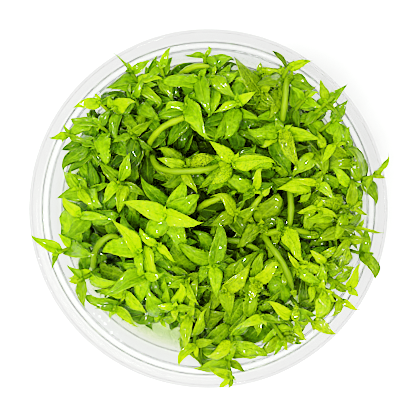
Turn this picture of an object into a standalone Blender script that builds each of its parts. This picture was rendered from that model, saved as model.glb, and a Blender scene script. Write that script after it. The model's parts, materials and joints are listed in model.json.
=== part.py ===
"""A clear culture cup full of leafy plantlets that stand in nutrient gel.

Run with: blender --background --python part.py
Lengths below are in millimetres, +Z is up, and the origin is the middle of the foot ring.
"""

import math
import random
from itertools import product

import bmesh
import bpy
from mathutils import Quaternion, Vector
from mathutils.bvhtree import BVHTree

MM = 0.001
UP = Vector((0, 0, 1))
RING_SIGNS = ((-1, -1), (1, -1), (1, 1), (-1, 1))

# The cup, turned about Z.
CUP_RADIUS = 50.0
CUP_HEIGHT = 60.0
WALL = 0.8
FLANGE_INNER_RADIUS = 45.9
SEAT_INNER_RADIUS = 44.2
LEDGE_OUTER_RADIUS = 42.5
LEDGE_INNER_RADIUS = 41.6
LEDGE_HEIGHT = 46.2
FLOOR_RADIUS = 37.2
FLOOR_HEIGHT = 1.9
FOOT_RADIUS = 34.4
FOOT_WIDTH = 3.2
FOOT_RECESS = 0.9
TURN_STEPS = 36

# The gel, and the gap that neighbouring solids keep.
GEL_TOP = 11.4
MENISCUS = 0.6
GAP = 0.35

# The shoots. Each tuple runs from a shoot's top pair of leaves down.
STEM_BOTTOM_SIDE = 1.9
STEM_TOP_SIDE = 1.2
BUD_HEIGHT = 1.3
NODE_HEIGHT = 1.1
NODE_DISTANCES = (0.8, 6.2, 12.6, 20.0)
LEAF_LENGTHS = (9.0, 10.5, 11.5, 12.0)
LEAF_WIDTH_SHARES = (0.42, 0.46, 0.50, 0.52)
LEAF_PITCHES = (26, 14, 4, -4)
LEAF_BENDS = (34, 32, 28, 24)
LEAF_WIDEST_AT = 0.4
LEAF_THICKNESS = 0.45
LEAF_ROOT_WIDTH = 2.0
LEAF_SHORTEST = 5.5
LEAF_LONGEST = 14.0
LENGTH_SPREAD = (0.85, 1.12)
PAIR_APART = 75
PITCH_SPREAD = 7
ROLL_SPREAD = 14
CLEARANCE = 0.3
SEED = 7

# How the photograph sees the cup: a pixel is a real size at the rim's height, less for what stands higher.
PHOTO_CENTRE = (208.5, 208.5)
MM_PER_PIXEL = CUP_RADIUS / 179.5
VIEW_DISTANCE = 520.0

# Each shoot as the photograph shows it: the pixel of its top pair of leaves, how far that is over the rim, how
# many pairs it has, and the pixels of the tips of the leaves that show, from the top pair down, each with how
# many degrees its blade is rolled over. Leaves that don't show are grown by rule.
SHOOTS = (
    (131, 71, 5.5, 3, ((113, 53, 75), (151, 60, 10), (109, 92, 10), (158, 84, 0))),
    (132, 96, 5.0, 4, ((126, 118, 0), (142, 74, 15), (118, 78, 0), (158, 98, 10))),
    (99, 102, 4.0, 3, ((72, 109, 15), (119, 95, 20), (103, 125, 0))),
    (99, 125, 4.0, 4, ((71, 119, 20), (108, 113, 10), (83, 140, 10), (120, 120, 0))),
    (67, 134, 4.5, 3, ((48, 137, 35), (83, 143, 5), (62, 150, 20), (100, 148, 0), (57, 165, 20),
        (98, 168, 10))),
    (131, 133, 5.5, 4, ((155, 112, 30), (112, 143, 30), (153, 150, 20), (114, 127, 5))),
    (160, 66, 3.5, 4, ((171, 48, 10), (151, 74, 10), (181, 99, 5), (142, 88, 0))),
    (205, 56, 1.5, 3, ((184, 53, 30), (218, 64, 0), (190, 72, 0))),
    (199, 76, 5.5, 4, ((213, 118, 10), (184, 84, 10), (178, 78, 0), (226, 66, 10))),
    (186, 104, 4.0, 4, ((217, 141, 15), (166, 112, 0), (200, 92, 0), (176, 134, 0))),
    (213, 74, 4.5, 4, ((238, 98, 0), (205, 92, 0), (232, 64, 10))),
    (238, 101, 6.5, 4, ((212, 113, 15), (256, 92, 20), (222, 141, 50), (243, 134, 45))),
    (262, 92, 3.5, 4, ((234, 57, 45), (278, 108, 5), (283, 82, 10), (247, 78, 0))),
    (289, 67, 6.5, 3, ((272, 51, 25), (313, 61, 15), (283, 92, 10), (306, 82, 0))),
    (306, 98, 4.0, 4, ((322, 106, 0), (289, 84, 0), (295, 127, 15), (318, 84, 0), (318, 138, 0))),
    (328, 101, 4.5, 3, ((321, 79, 15), (337, 114, 15), (316, 112, 0))),
    (284, 130, 6.0, 4, ((299, 169, 20), (274, 118, 15), (321, 140, 25), (263, 144, 0))),
    (337, 143, 5.0, 4, ((321, 163, 0), (346, 124, 10), (366, 143, 20), (318, 133, 10))),
    (376, 176, 5.5, 3, ((388, 153, 50), (367, 190, 40), (348, 160, 0), (356, 178, 0),
        (336, 184, 0), (330, 158, 5))),
    (234, 161, 7.0, 4, ((209, 141, 20), (277, 168, 20), (256, 143, 40), (197, 189, 30))),
    (254, 190, 4.5, 4, ((264, 168, 20), (242, 206, 30), (274, 182, 10), (226, 180, 0))),
    (185, 166, 3.0, 4, ((157, 158, 0), (197, 197, 25), (200, 150, 0), (160, 184, 0))),
    (318, 184, 5.5, 4, ((291, 177, 20), (338, 198, 20), (328, 166, 0), (300, 198, 0))),
    (319, 209, 4.5, 4, ((303, 211, 20), (337, 219, 10), (308, 236, 10), (327, 192, 0), (338, 234, 10))),
    (354, 206, 3.5, 3, ((350, 178, 20), (367, 214, 30), (338, 204, 0), (356, 226, 10))),
    (358, 229, 4.5, 3, ((384, 232, 40), (343, 222, 10), (366, 243, 10), (331, 257, 25))),
    (237, 214, 4.5, 4, ((208, 198, 10), (260, 212, 10), (222, 220, 0), (243, 194, 10))),
    (262, 226, 4.0, 4, ((287, 221, 15), (247, 240, 15), (276, 238, 10), (250, 214, 10))),
    (284, 231, 4.5, 4, ((309, 262, 25), (270, 219, 15), (300, 224, 10), (268, 246, 10))),
    (165, 215, 7.5, 4, ((119, 204, 15), (204, 222, 15), (183, 176, 10), (179, 254, 10),
        (138, 172, 35), (150, 240, 10))),
    (118, 182, 5.5, 4, ((132, 152, 30), (102, 203, 10), (98, 160, 15), (145, 196, 10), (118, 148, 10))),
    (78, 188, 4.0, 4, ((72, 167, 20), (93, 211, 15), (56, 199, 30), (108, 188, 10))),
    (78, 216, 3.5, 4, ((64, 196, 20), (112, 218, 15), (60, 238, 10), (96, 200, 5), (109, 222, 15))),
    (58, 252, 5.5, 3, ((28, 239, 15), (52, 262, 40), (56, 237, 25), (88, 247, 10), (94, 272, 0))),
    (138, 252, 6.0, 4, ((111, 218, 20), (142, 274, 10), (102, 252, 25), (164, 258, 0))),
    (156, 246, 4.5, 4, ((177, 262, 30), (140, 228, 25), (168, 228, 0), (146, 264, 0))),
    (143, 277, 6.0, 4, ((90, 288, 20), (166, 270, 10), (167, 296, 20), (122, 262, 0))),
    (80, 280, 4.0, 3, ((86, 309, 25), (68, 264, 15), (70, 285, 25), (104, 282, 5), (99, 256, 10))),
    (114, 309, 4.0, 3, ((94, 309, 20), (139, 326, 20), (112, 321, 10), (120, 292, 5))),
    (124, 294, 4.5, 4, ((147, 314, 20), (99, 290, 15), (134, 278, 5))),
    (175, 309, 5.5, 4, ((155, 304, 15), (197, 308, 15), (186, 292, 10), (166, 326, 10))),
    (161, 321, 4.0, 3, ((147, 336, 15), (174, 312, 10), (150, 308, 5))),
    (188, 318, 4.5, 3, ((189, 348, 5), (196, 300, 10), (204, 324, 10), (169, 325, 5))),
    (194, 346, 4.0, 3, ((172, 359, 35), (214, 341, 10), (199, 368, 20), (184, 332, 5))),
    (186, 282, 5.0, 4, ((170, 288, 5), (200, 306, 15), (205, 274, 0), (176, 264, 5))),
    (214, 266, 5.5, 4, ((213, 217, 10), (217, 298, 10), (198, 284, 0), (230, 254, 10))),
    (226, 291, 5.5, 4, ((206, 287, 15), (251, 261, 25), (229, 318, 25), (284, 284, 20))),
    (256, 282, 4.0, 4, ((278, 262, 5), (248, 302, 15), (272, 300, 10), (240, 268, 0))),
    (300, 270, 5.0, 4, ((292, 258, 20), (324, 286, 20), (284, 286, 5), (318, 256, 10))),
    (328, 264, 4.0, 4, ((312, 252, 5), (346, 272, 10), (336, 246, 10), (326, 284, 0))),
    (350, 290, 5.0, 3, ((362, 262, 35), (344, 276, 10), (360, 282, 10), (334, 288, 0))),
    (343, 301, 4.5, 3, ((354, 306, 30), (332, 312, 5), (337, 326, 20), (324, 331, 20), (346, 318, 10))),
    (324, 292, 4.5, 3, ((325, 309, 15), (322, 274, 10), (308, 298, 5), (338, 292, 10))),
    (298, 324, 4.5, 3, ((293, 302, 15), (306, 338, 10), (282, 318, 5), (316, 316, 10))),
    (284, 341, 4.5, 3, ((275, 354, 20), (302, 341, 15), (262, 344, 0), (288, 324, 5))),
    (262, 318, 3.5, 3, ((284, 322, 5), (240, 330, 10), (271, 300, 10), (256, 338, 10))),
    (233, 345, 4.5, 3, ((202, 351, 5), (268, 357, 15), (254, 312, 20), (246, 358, 10), (214, 328, 0))),
    (231, 378, 5.5, 3, ((208, 366, 25), (229, 387, 20), (238, 378, 10))),
)

# The space between plants and wall that the photograph shows free, where tweezers go in: two opposite corners.
FREE_SPACE = ((-15.0, -36.8, 30.0), (-9.0, -32.0, 72.0))

# Where a stem stands in the gel: its top's plan place drawn in, and never further out than this.
BASE_SHARE = 0.76
BASE_LIMIT = 33.0
BASE_JITTER = 1.8
BASE_TRIES = 40
UPRIGHT_WITHIN = 26.0
TIP_LEAN_UPRIGHT = 12
TIP_LEAN_AT_RIM = 58

# Turns and pitches that a leaf tries, in degrees, until it is clear of all that grew before it.
TURN_TRIES = (0, 11, -11, 22, -22, 33, -33, 44, -44)
PITCH_TRIES = (0, 13, -13, 26, -26, 39)
TURNS_AND_PITCHES = sorted(product(TURN_TRIES, PITCH_TRIES), key=lambda way: abs(way[0]) + abs(way[1]))
SIZE_TRIES = (1.0, 0.86, 0.72, 0.58)


def cup_profile():
    """The cup's section from the inner floor's middle, up the inside, over the rim and down to the foot."""
    seat_height = CUP_HEIGHT - 1.1
    under_flange = CUP_HEIGHT - WALL
    skirt_bottom = CUP_HEIGHT - 2.8
    return [
        (0, FLOOR_HEIGHT),
        (FLOOR_RADIUS - 4.4, FLOOR_HEIGHT),
        (FLOOR_RADIUS - 1.6, FLOOR_HEIGHT + 0.9),
        (FLOOR_RADIUS, FLOOR_HEIGHT + 3.1),
        (LEDGE_INNER_RADIUS, LEDGE_HEIGHT),
        (LEDGE_OUTER_RADIUS, LEDGE_HEIGHT + 0.8),
        (SEAT_INNER_RADIUS, seat_height - 0.5),
        (FLANGE_INNER_RADIUS - 0.5, seat_height),
        (FLANGE_INNER_RADIUS, CUP_HEIGHT),
        (CUP_RADIUS - 0.6, CUP_HEIGHT),
        (CUP_RADIUS, CUP_HEIGHT - 0.6),
        (CUP_RADIUS, skirt_bottom),
        (CUP_RADIUS - WALL, skirt_bottom),
        (CUP_RADIUS - WALL, under_flange),
        (FLANGE_INNER_RADIUS + WALL, under_flange),
        (FLANGE_INNER_RADIUS + WALL - 0.4, seat_height - WALL),
        (SEAT_INNER_RADIUS + WALL, seat_height - 0.5 - WALL),
        (LEDGE_OUTER_RADIUS + WALL, LEDGE_HEIGHT),
        (LEDGE_INNER_RADIUS + WALL, LEDGE_HEIGHT - WALL),
        (FLOOR_RADIUS + WALL, FLOOR_HEIGHT + 2.9),
        (FLOOR_RADIUS - 1.0, FLOOR_HEIGHT - 0.4),
        (FOOT_RADIUS, 0),
        (FOOT_RADIUS - FOOT_WIDTH, 0),
        (FOOT_RADIUS - FOOT_WIDTH - 0.8, FOOT_RECESS),
        (0, FOOT_RECESS),
    ]


def inner_radius(height):
    """The lower wall's inner radius at a height."""
    low = FLOOR_HEIGHT + 3.1
    share = (height - low) / (LEDGE_HEIGHT - low)
    return FLOOR_RADIUS + share * (LEDGE_INNER_RADIUS - FLOOR_RADIUS)


def gel_profile():
    """The gel's section: a flat top that climbs a little at the wall, and the cup's inside less the gap."""
    corner = FLOOR_HEIGHT + 3.1
    return [
        (0, GEL_TOP),
        (inner_radius(GEL_TOP) - 2.2, GEL_TOP),
        (inner_radius(GEL_TOP + MENISCUS) - GAP, GEL_TOP + MENISCUS),
        (FLOOR_RADIUS - GAP, corner + 0.1),
        (FLOOR_RADIUS - 1.9, FLOOR_HEIGHT + 0.9 + GAP),
        (FLOOR_RADIUS - 4.6, FLOOR_HEIGHT + GAP),
        (0, FLOOR_HEIGHT + GAP),
    ]


def bezier(points, t):
    """The point at share t of a cubic Bezier curve."""
    a, b, c, d = points
    s = 1 - t
    return a * s**3 + b * (3 * s * s * t) + c * (3 * s * t * t) + d * t**3


def plan_place(x_pixel, y_pixel, rise):
    """The real place, in plan, of a photograph's pixel that shows something that far over the rim."""
    scale = MM_PER_PIXEL * (1 - rise / VIEW_DISTANCE)
    return Vector(((x_pixel - PHOTO_CENTRE[0]) * scale, (PHOTO_CENTRE[1] - y_pixel) * scale, 0))


def stem_line(shoot, luck):
    """The stem's middle line, from its tip down, as points about a millimetre apart."""
    x_pixel, y_pixel, rise = shoot[:3]
    plan = plan_place(x_pixel, y_pixel, rise)
    outward = plan.normalized()
    foot = outward * min(plan.length * BASE_SHARE, BASE_LIMIT)
    foot += Vector((luck.uniform(-1, 1), luck.uniform(-1, 1), 0)) * BASE_JITTER
    foot.z = GEL_TOP + GAP
    tip = plan + UP * (CUP_HEIGHT + rise)
    share = max(0, min(1, (plan.length - UPRIGHT_WITHIN) / (CUP_RADIUS - UPRIGHT_WITHIN)))
    lean = math.radians(TIP_LEAN_UPRIGHT + (TIP_LEAN_AT_RIM - TIP_LEAN_UPRIGHT) * share)
    heading = outward * math.sin(lean) + UP * math.cos(lean)
    length = (tip - foot).length
    curve = (foot, foot + UP * length * 0.4, tip - heading * length * 0.3, tip)
    steps = round(length)
    return [bezier(curve, 1 - i / steps) for i in range(steps + 1)]


def place_along(line, distance):
    """The point at a distance down the line from its tip, and the line's upward direction there."""
    gone = 0
    for above, below in zip(line, line[1:]):
        step = (above - below).length
        if gone + step >= distance:
            return above.lerp(below, (distance - gone) / step), (above - below).normalized()
        gone += step
    return line[-1], (line[-2] - line[-1]).normalized()


def turned_to(frame, upward):
    """The side directions of a frame, turned the shortest way so that they stand square to a new upward."""
    turn = frame[2].rotation_difference(upward)
    return turn @ frame[0], turn @ frame[1], upward


def first_direction(shoot):
    """The way a shoot's top pair points, in plan: from its second tip to its first."""
    first, second = shoot[4][:2]
    return Vector((first[0] - second[0], second[1] - first[1], 0)).normalized()


def shoot_frames(shoot, line):
    """For each pair of leaves, from the tip down: its place, and its directions across, along and up."""
    points = [place_along(line, distance) for distance in NODE_DISTANCES[: shoot[3]]]
    upward = points[0][1]
    across = first_direction(shoot)
    across = (across - upward * across.dot(upward)).normalized()
    frame = (across, upward.cross(across), upward)
    frames = []
    for place, direction in points:
        frame = turned_to(frame, direction)
        frames.append((place, *frame))
    return frames


def leaf_plan(plant, level, side, luck):
    """How a leaf should grow: its outward and upward directions, its length, pitch and roll."""
    place, across, along, upward = plant["frames"][level]
    outward = (across if level % 2 == 0 else along) * (1 - 2 * side)
    length = LEAF_LENGTHS[level] * luck.uniform(*LENGTH_SPREAD)
    pitch = LEAF_PITCHES[level] + luck.gauss(0, PITCH_SPREAD)
    roll = luck.gauss(0, ROLL_SPREAD)
    shown = plant["tips"][2 * level + side :][:1]
    for x_pixel, y_pixel, roll in shown:
        reach = plan_place(x_pixel, y_pixel, place.z - CUP_HEIGHT) - place
        reach.z = 0
        outward, upward = reach.normalized(), UP
        flatness = LEAF_WIDEST_AT * math.cos(math.radians(pitch))
        flatness += (1 - LEAF_WIDEST_AT) * math.cos(math.radians(pitch - LEAF_BENDS[level]))
        length = (reach.length - STEM_TOP_SIDE / 2) / flatness
    return outward, upward, max(LEAF_SHORTEST, min(LEAF_LONGEST, length)), pitch, roll


def leaf_shape(place, level, plan, turn, pitch_change, size):
    """One leaf: its base, widest place and tip, and the blade's directions across and out of its face."""
    outward, upward, length, pitch, roll = plan
    pitch += pitch_change
    length *= size
    outward = Quaternion(upward, math.radians(turn)) @ outward
    wide = upward.cross(outward).normalized()
    first = Quaternion(wide, -math.radians(pitch)) @ outward
    second = Quaternion(wide, -math.radians(pitch - LEAF_BENDS[level])) @ outward
    middle = Quaternion(wide, -math.radians(pitch - LEAF_BENDS[level] / 2)) @ outward
    wide = Quaternion(middle, math.radians(roll)) @ wide
    base = place + outward * (STEM_TOP_SIDE / 2)
    widest = base + first * (length * LEAF_WIDEST_AT)
    return {
        "base": base,
        "widest": widest,
        "tip": widest + second * (length * (1 - LEAF_WIDEST_AT)),
        "wide": wide,
        "face": middle.cross(wide),
        "unrolled": (upward.cross(outward), upward),
        "half_width": length * LEAF_WIDTH_SHARES[level] / 2,
        "level": level,
    }


def slab_tree(leaf):
    """The space that a leaf needs, a little larger than the leaf, as a tree for finding overlaps."""
    start = leaf["base"].lerp(leaf["widest"], 0.3)
    thick = LEAF_THICKNESS + 2 * CLEARANCE
    corners = []
    for centre, width in ((start, LEAF_ROOT_WIDTH), (leaf["widest"], leaf["half_width"] * 2)):
        corners += ring_corners(centre, leaf["wide"], leaf["face"], width + 2 * CLEARANCE, thick)
    corners.append(leaf["tip"] + (leaf["tip"] - leaf["widest"]).normalized() * CLEARANCE * 2)
    faces = [(0, 3, 2, 1)]
    for i in range(4):
        j = (i + 1) % 4
        faces += [(i, j, j + 4, i + 4), (i + 4, j + 4, 8)]
    return BVHTree.FromPolygons(corners, faces)


def stem_side(distance, length):
    """The stem's side at a distance from its tip."""
    return STEM_TOP_SIDE + (STEM_BOTTOM_SIDE - STEM_TOP_SIDE) * min(1, distance / length)


def ring_corners(place, across, along, width, depth):
    """The corners of a rectangle, across a stem or a leaf."""
    return [place + across * width / 2 * a + along * depth / 2 * b for a, b in RING_SIGNS]


def stem_rings(line, frames):
    """The stem's square rings from its foot up, two at each pair of leaves."""
    length = sum((a - b).length for a, b in zip(line, line[1:]))
    foot_frame = turned_to(frames[-1][1:], UP)
    rings = [ring_corners(line[-1], foot_frame[0], foot_frame[1], STEM_BOTTOM_SIDE, STEM_BOTTOM_SIDE)]
    for level in reversed(range(len(frames))):
        place, across, along, upward = frames[level]
        side = stem_side(NODE_DISTANCES[level], length)
        for end in (-1, 1):
            rings.append(ring_corners(place + upward * end * NODE_HEIGHT / 2, across, along, side, side))
    return rings


def tube_tree(rings, swell):
    """A stem's rings, swollen a little, as a tree for finding overlaps."""
    points, faces = [], []
    for ring in rings:
        centre = sum(ring, Vector()) / 4
        points += [corner + (corner - centre).normalized() * swell for corner in ring]
    for start in range(0, len(points) - 4, 4):
        for i in range(4):
            j = (i + 1) % 4
            faces.append((start + i, start + j, start + j + 4, start + i + 4))
    return BVHTree.FromPolygons(points, faces)


def cup_tree():
    """The cup's surface as a tree for finding overlaps."""
    profile = cup_profile()
    points, faces = [], []
    for step in range(TURN_STEPS):
        angle = 2 * math.pi * step / TURN_STEPS
        points += [Vector((r * math.cos(angle), r * math.sin(angle), z)) for r, z in profile]
    count = len(profile)
    for step in range(TURN_STEPS):
        after = (step + 1) % TURN_STEPS
        for i in range(count - 1):
            here, there = step * count + i, after * count + i
            faces.append((here, there, there + 1, here + 1))
    return BVHTree.FromPolygons(points, faces)


def free_space_tree():
    """The space that stays free, as a tree for finding overlaps."""
    corners = [Vector(corner) for corner in product(*zip(*FREE_SPACE))]
    faces = [(0, 1, 3, 2), (4, 6, 7, 5), (0, 4, 5, 1), (2, 3, 7, 6), (0, 2, 6, 4), (1, 5, 7, 3)]
    return BVHTree.FromPolygons(corners, faces)


def inside_reach(leaf):
    """Whether a leaf stays within the rim's square, and is over the rim where it is beyond the wall."""
    corners = [leaf["widest"] + leaf["wide"] * leaf["half_width"] * a for a in (-1, 1)] + [leaf["tip"]]
    for point in corners:
        if max(abs(point.x), abs(point.y)) > CUP_RADIUS - GAP or point.z < GEL_TOP + 1:
            return False
        beyond = Vector((point.x, point.y)).length > SEAT_INNER_RADIUS
        if beyond and point.z < CUP_HEIGHT + 0.5:
            return False
    return True


def planted(shoot, plants, luck):
    """A shoot's stem, clear of the stems that stand already, with no leaves yet."""
    for _ in range(BASE_TRIES):
        line = stem_line(shoot, luck)
        frames = shoot_frames(shoot, line)
        rings = stem_rings(line, frames)
        space = tube_tree(rings, CLEARANCE)
        if not any(space.overlap(other["space"]) for other in plants):
            break
    stem = tube_tree(rings, 0)
    return {"frames": frames, "rings": rings, "stem": stem, "space": space, "tips": shoot[4], "leaves": []}


def points_apart(leaf, others):
    """Whether a leaf leaves the stem well away from the others of its pair."""
    way = leaf["widest"] - leaf["base"]
    return all(way.angle(other["widest"] - other["base"]) > math.radians(PAIR_APART) for other in others)


def first_clear(place, level, plan, pair, near):
    """The first way to grow a leaf that keeps it clear of what is near, with the space it takes, or None."""
    for size in SIZE_TRIES:
        for turn, pitch_change in TURNS_AND_PITCHES:
            leaf = leaf_shape(place, level, plan, turn, pitch_change, size)
            if not inside_reach(leaf) or not points_apart(leaf, pair):
                continue
            tree = slab_tree(leaf)
            if not any(tree.overlap(other) for other in near):
                return leaf, tree
    return None


def grow():
    """All shoots: first the stems, then every shoot's top pair of leaves, then the next pairs down."""
    luck = random.Random(SEED)
    plants = []
    for shoot in SHOOTS:
        plants.append(planted(shoot, plants, luck))
    fixed = [cup_tree(), free_space_tree()]
    grown = []
    for level, plant, side in product(range(len(NODE_DISTANCES)), plants, (0, 1)):
        if level >= len(plant["frames"]):
            continue
        place = plant["frames"][level][0]
        plan = leaf_plan(plant, level, side, luck)
        near = [tree for tree, other in grown if (other - place).length < 2.2 * plan[2] + 4]
        near += [other["space"] for other in plants if other is not plant] + [plant["stem"]] + fixed
        pair = [leaf for leaf in plant["leaves"] if leaf["level"] == level]
        found = first_clear(place, level, plan, pair, near)
        if found:
            plant["leaves"].append(found[0])
            grown.append((found[1], found[0]["widest"]))
    return plants


def new_object(name, mesh, material, collection):
    """Links a mesh to the part's collection under its name."""
    made = bpy.data.objects.new(name, mesh)
    mesh.materials.append(material)
    collection.objects.link(made)
    return made


def finish(name, colour, roughness, alpha=1.0):
    """A Principled BSDF of one colour."""
    material = bpy.data.materials.new(name)
    material.use_nodes = True
    shader = material.node_tree.nodes["Principled BSDF"]
    shader.inputs["Base Color"].default_value = (*colour, 1)
    shader.inputs["Roughness"].default_value = roughness
    shader.inputs["Metallic"].default_value = 0
    shader.inputs["Alpha"].default_value = alpha
    return material


def turned(name, profile, material, collection):
    """A section turned about Z by a Screw modifier."""
    mesh = bpy.data.meshes.new(name)
    points = [(radius * MM, 0, height * MM) for radius, height in profile]
    mesh.from_pydata(points, [(i, i + 1) for i in range(len(points) - 1)], [])
    made = new_object(name, mesh, material, collection)
    screw = made.modifiers.new("Turn", "SCREW")
    screw.steps = screw.render_steps = TURN_STEPS
    screw.use_merge_vertices = True
    screw.merge_threshold = 0.0001
    screw.use_smooth_shade = False
    return made


def nearest(options, point):
    """The index of the option nearest to a point."""
    return min(range(len(options)), key=lambda i: (options[i] - point).length)


def pulled_out(bm, face, starts, ends):
    """Extrudes a face and moves its new corners from their starts to their ends."""
    made = bmesh.ops.extrude_discrete_faces(bm, faces=[face])["faces"][0]
    for vert in made.verts:
        vert.co = ends[nearest(starts, vert.co)]
    return made


def pulled_to_point(bm, face, point):
    """Extrudes a face to a point."""
    made = bmesh.ops.extrude_discrete_faces(bm, faces=[face])["faces"][0]
    bmesh.ops.pointmerge(bm, verts=list(made.verts), merge_co=point)


def add_leaf(bm, sides, leaf):
    """Pulls a leaf out of the stem's side that faces its way: to its widest place, then to its tip."""
    outward = (leaf["widest"] - leaf["base"]).normalized()
    side = max(sides, key=lambda face: face.normal.dot(outward))
    sides.remove(side)
    starts = [vert.co.copy() for vert in side.verts]
    centre = side.calc_center_median()
    spread, upward = leaf["unrolled"]
    guides = [spread * a + upward * b for a, b in RING_SIGNS]
    ends = ring_corners(leaf["widest"], leaf["wide"], leaf["face"], leaf["half_width"] * 2, LEAF_THICKNESS)
    fits = [sum((starts[i] - centre).dot(guides[(i + k) % 4]) for i in range(4)) for k in range(4)]
    turn = fits.index(max(fits))
    end = pulled_out(bm, side, starts, [ends[(i + turn) % 4] * MM for i in range(4)])
    pulled_to_point(bm, end, leaf["tip"] * MM)


def stem_body(rings):
    """A square stem, pulled up ring by ring from a cube to a pointed bud."""
    bm = bmesh.new()
    bmesh.ops.create_cube(bm, size=2)
    corners = [Vector((a, b, 0)) for a, b in RING_SIGNS]
    for vert in bm.verts:
        ring = rings[1 if vert.co.z > 0 else 0]
        vert.co = ring[nearest(corners, vert.co)] * MM
    top = max(bm.faces, key=lambda face: face.calc_center_median().z)
    for lower, upper in zip(rings[1:], rings[2:]):
        top = pulled_out(bm, top, [corner * MM for corner in lower], [corner * MM for corner in upper])
    bm.normal_update()
    pulled_to_point(bm, top, top.calc_center_median() + top.normal * BUD_HEIGHT * MM)
    return bm


def shoot_mesh(name, plant):
    """A stem with its leaves pulled out of its sides at each pair."""
    bm = stem_body(plant["rings"])
    bands = []
    for place, _, _, upward in plant["frames"]:
        sides = [face for face in bm.faces if abs(face.normal.dot(upward)) < 0.5 and len(face.verts) == 4]
        bands.append(sorted(sides, key=lambda face: (face.calc_center_median() / MM - place).length)[:4])
    for leaf in plant["leaves"]:
        add_leaf(bm, bands[leaf["level"]], leaf)
    mesh = bpy.data.meshes.new(name)
    bm.to_mesh(mesh)
    bm.free()
    return mesh


def main():
    for old in list(bpy.data.objects):
        bpy.data.objects.remove(old, do_unlink=True)
    collection = bpy.data.collections.new("plant_culture_cup")
    bpy.context.scene.collection.children.link(collection)
    plastic = finish("clear_plastic", (0.90, 0.91, 0.90), 0.12, 0.3)
    gel = finish("nutrient_gel", (0.82, 0.84, 0.72), 0.2)
    green = finish("leaf_green", (0.30, 0.52, 0.02), 0.45)
    turned("cup", cup_profile(), plastic, collection)
    turned("nutrient_gel", gel_profile(), gel, collection)
    for number, plant in enumerate(grow(), 1):
        name = f"shoot_{number:02d}"
        new_object(name, shoot_mesh(name, plant), green, collection)


main()
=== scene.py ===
"""Dresses the culture cup of plantlets: fine leaves and stems, clear moulded plastic, gel, drops, light and camera."""

import json
import math
import random
from itertools import product

import bmesh
import bpy
import numpy as np
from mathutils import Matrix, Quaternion, Vector
from mathutils.bvhtree import BVHTree

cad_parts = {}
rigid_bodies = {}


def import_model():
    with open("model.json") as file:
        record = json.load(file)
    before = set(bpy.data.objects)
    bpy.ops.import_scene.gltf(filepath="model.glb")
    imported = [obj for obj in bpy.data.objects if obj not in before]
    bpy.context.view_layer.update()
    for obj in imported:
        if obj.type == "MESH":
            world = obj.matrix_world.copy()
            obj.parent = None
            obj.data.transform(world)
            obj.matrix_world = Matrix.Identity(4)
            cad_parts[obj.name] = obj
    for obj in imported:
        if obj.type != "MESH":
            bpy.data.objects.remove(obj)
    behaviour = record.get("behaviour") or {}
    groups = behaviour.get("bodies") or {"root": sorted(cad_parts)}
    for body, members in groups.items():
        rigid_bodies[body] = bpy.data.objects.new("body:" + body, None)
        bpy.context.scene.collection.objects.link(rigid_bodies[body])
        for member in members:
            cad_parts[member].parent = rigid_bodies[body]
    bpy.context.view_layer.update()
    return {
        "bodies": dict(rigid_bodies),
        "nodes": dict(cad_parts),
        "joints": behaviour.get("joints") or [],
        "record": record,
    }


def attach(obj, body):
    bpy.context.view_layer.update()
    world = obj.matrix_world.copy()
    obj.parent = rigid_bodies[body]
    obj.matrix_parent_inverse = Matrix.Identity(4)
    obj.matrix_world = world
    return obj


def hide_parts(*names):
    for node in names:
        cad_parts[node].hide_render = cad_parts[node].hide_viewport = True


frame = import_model()

MM = 0.001
UP = Vector((0, 0, 1))
RING_SIGNS = ((-1, -1), (1, -1), (1, 1), (-1, 1))

# The cup, turned about Z.
CUP_RADIUS = 50.0
CUP_HEIGHT = 60.0
WALL = 0.8
FLANGE_INNER_RADIUS = 45.9
SEAT_INNER_RADIUS = 44.2
LEDGE_OUTER_RADIUS = 42.5
LEDGE_INNER_RADIUS = 41.6
LEDGE_HEIGHT = 46.2
FLOOR_RADIUS = 37.2
FLOOR_HEIGHT = 1.9
CORNER_HEIGHT = FLOOR_HEIGHT + 3.1
FOOT_RADIUS = 34.4
FOOT_WIDTH = 3.2
FOOT_RECESS = 0.9
TURN_STEPS = 36

# The gel, and the gap that neighbouring solids keep.
GEL_TOP = 11.4
MENISCUS = 0.6
GAP = 0.35

# The shoots. Each tuple runs from a shoot's top pair of leaves down.
STEM_BOTTOM_SIDE = 1.9
STEM_TOP_SIDE = 1.2
NODE_HEIGHT = 1.1
NODE_DISTANCES = (0.8, 6.2, 12.6, 20.0)
LEAF_LENGTHS = (9.0, 10.5, 11.5, 12.0)
LEAF_WIDTH_SHARES = (0.42, 0.46, 0.50, 0.52)
LEAF_PITCHES = (26, 14, 4, -4)
LEAF_BENDS = (34, 32, 28, 24)
LEAF_WIDEST_AT = 0.4
LEAF_THICKNESS = 0.45
LEAF_ROOT_WIDTH = 2.0
LEAF_ROOT_SHARE = 0.3
LEAF_OVER_GEL, LEAF_OVER_RIM = 1, 0.5
LEAF_SHORTEST = 5.5
LEAF_LONGEST = 14.0
LENGTH_SPREAD = (0.85, 1.12)
PAIR_APART = 75
PITCH_SPREAD = 7
ROLL_SPREAD = 14
CLEARANCE = 0.3
SEED = 7

# How the photograph sees the cup: a pixel is a real size at the rim's height, less for what stands higher.
PHOTO_CENTRE = (208.5, 208.5)
MM_PER_PIXEL = CUP_RADIUS / 179.5
VIEW_DISTANCE = 520.0

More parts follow.
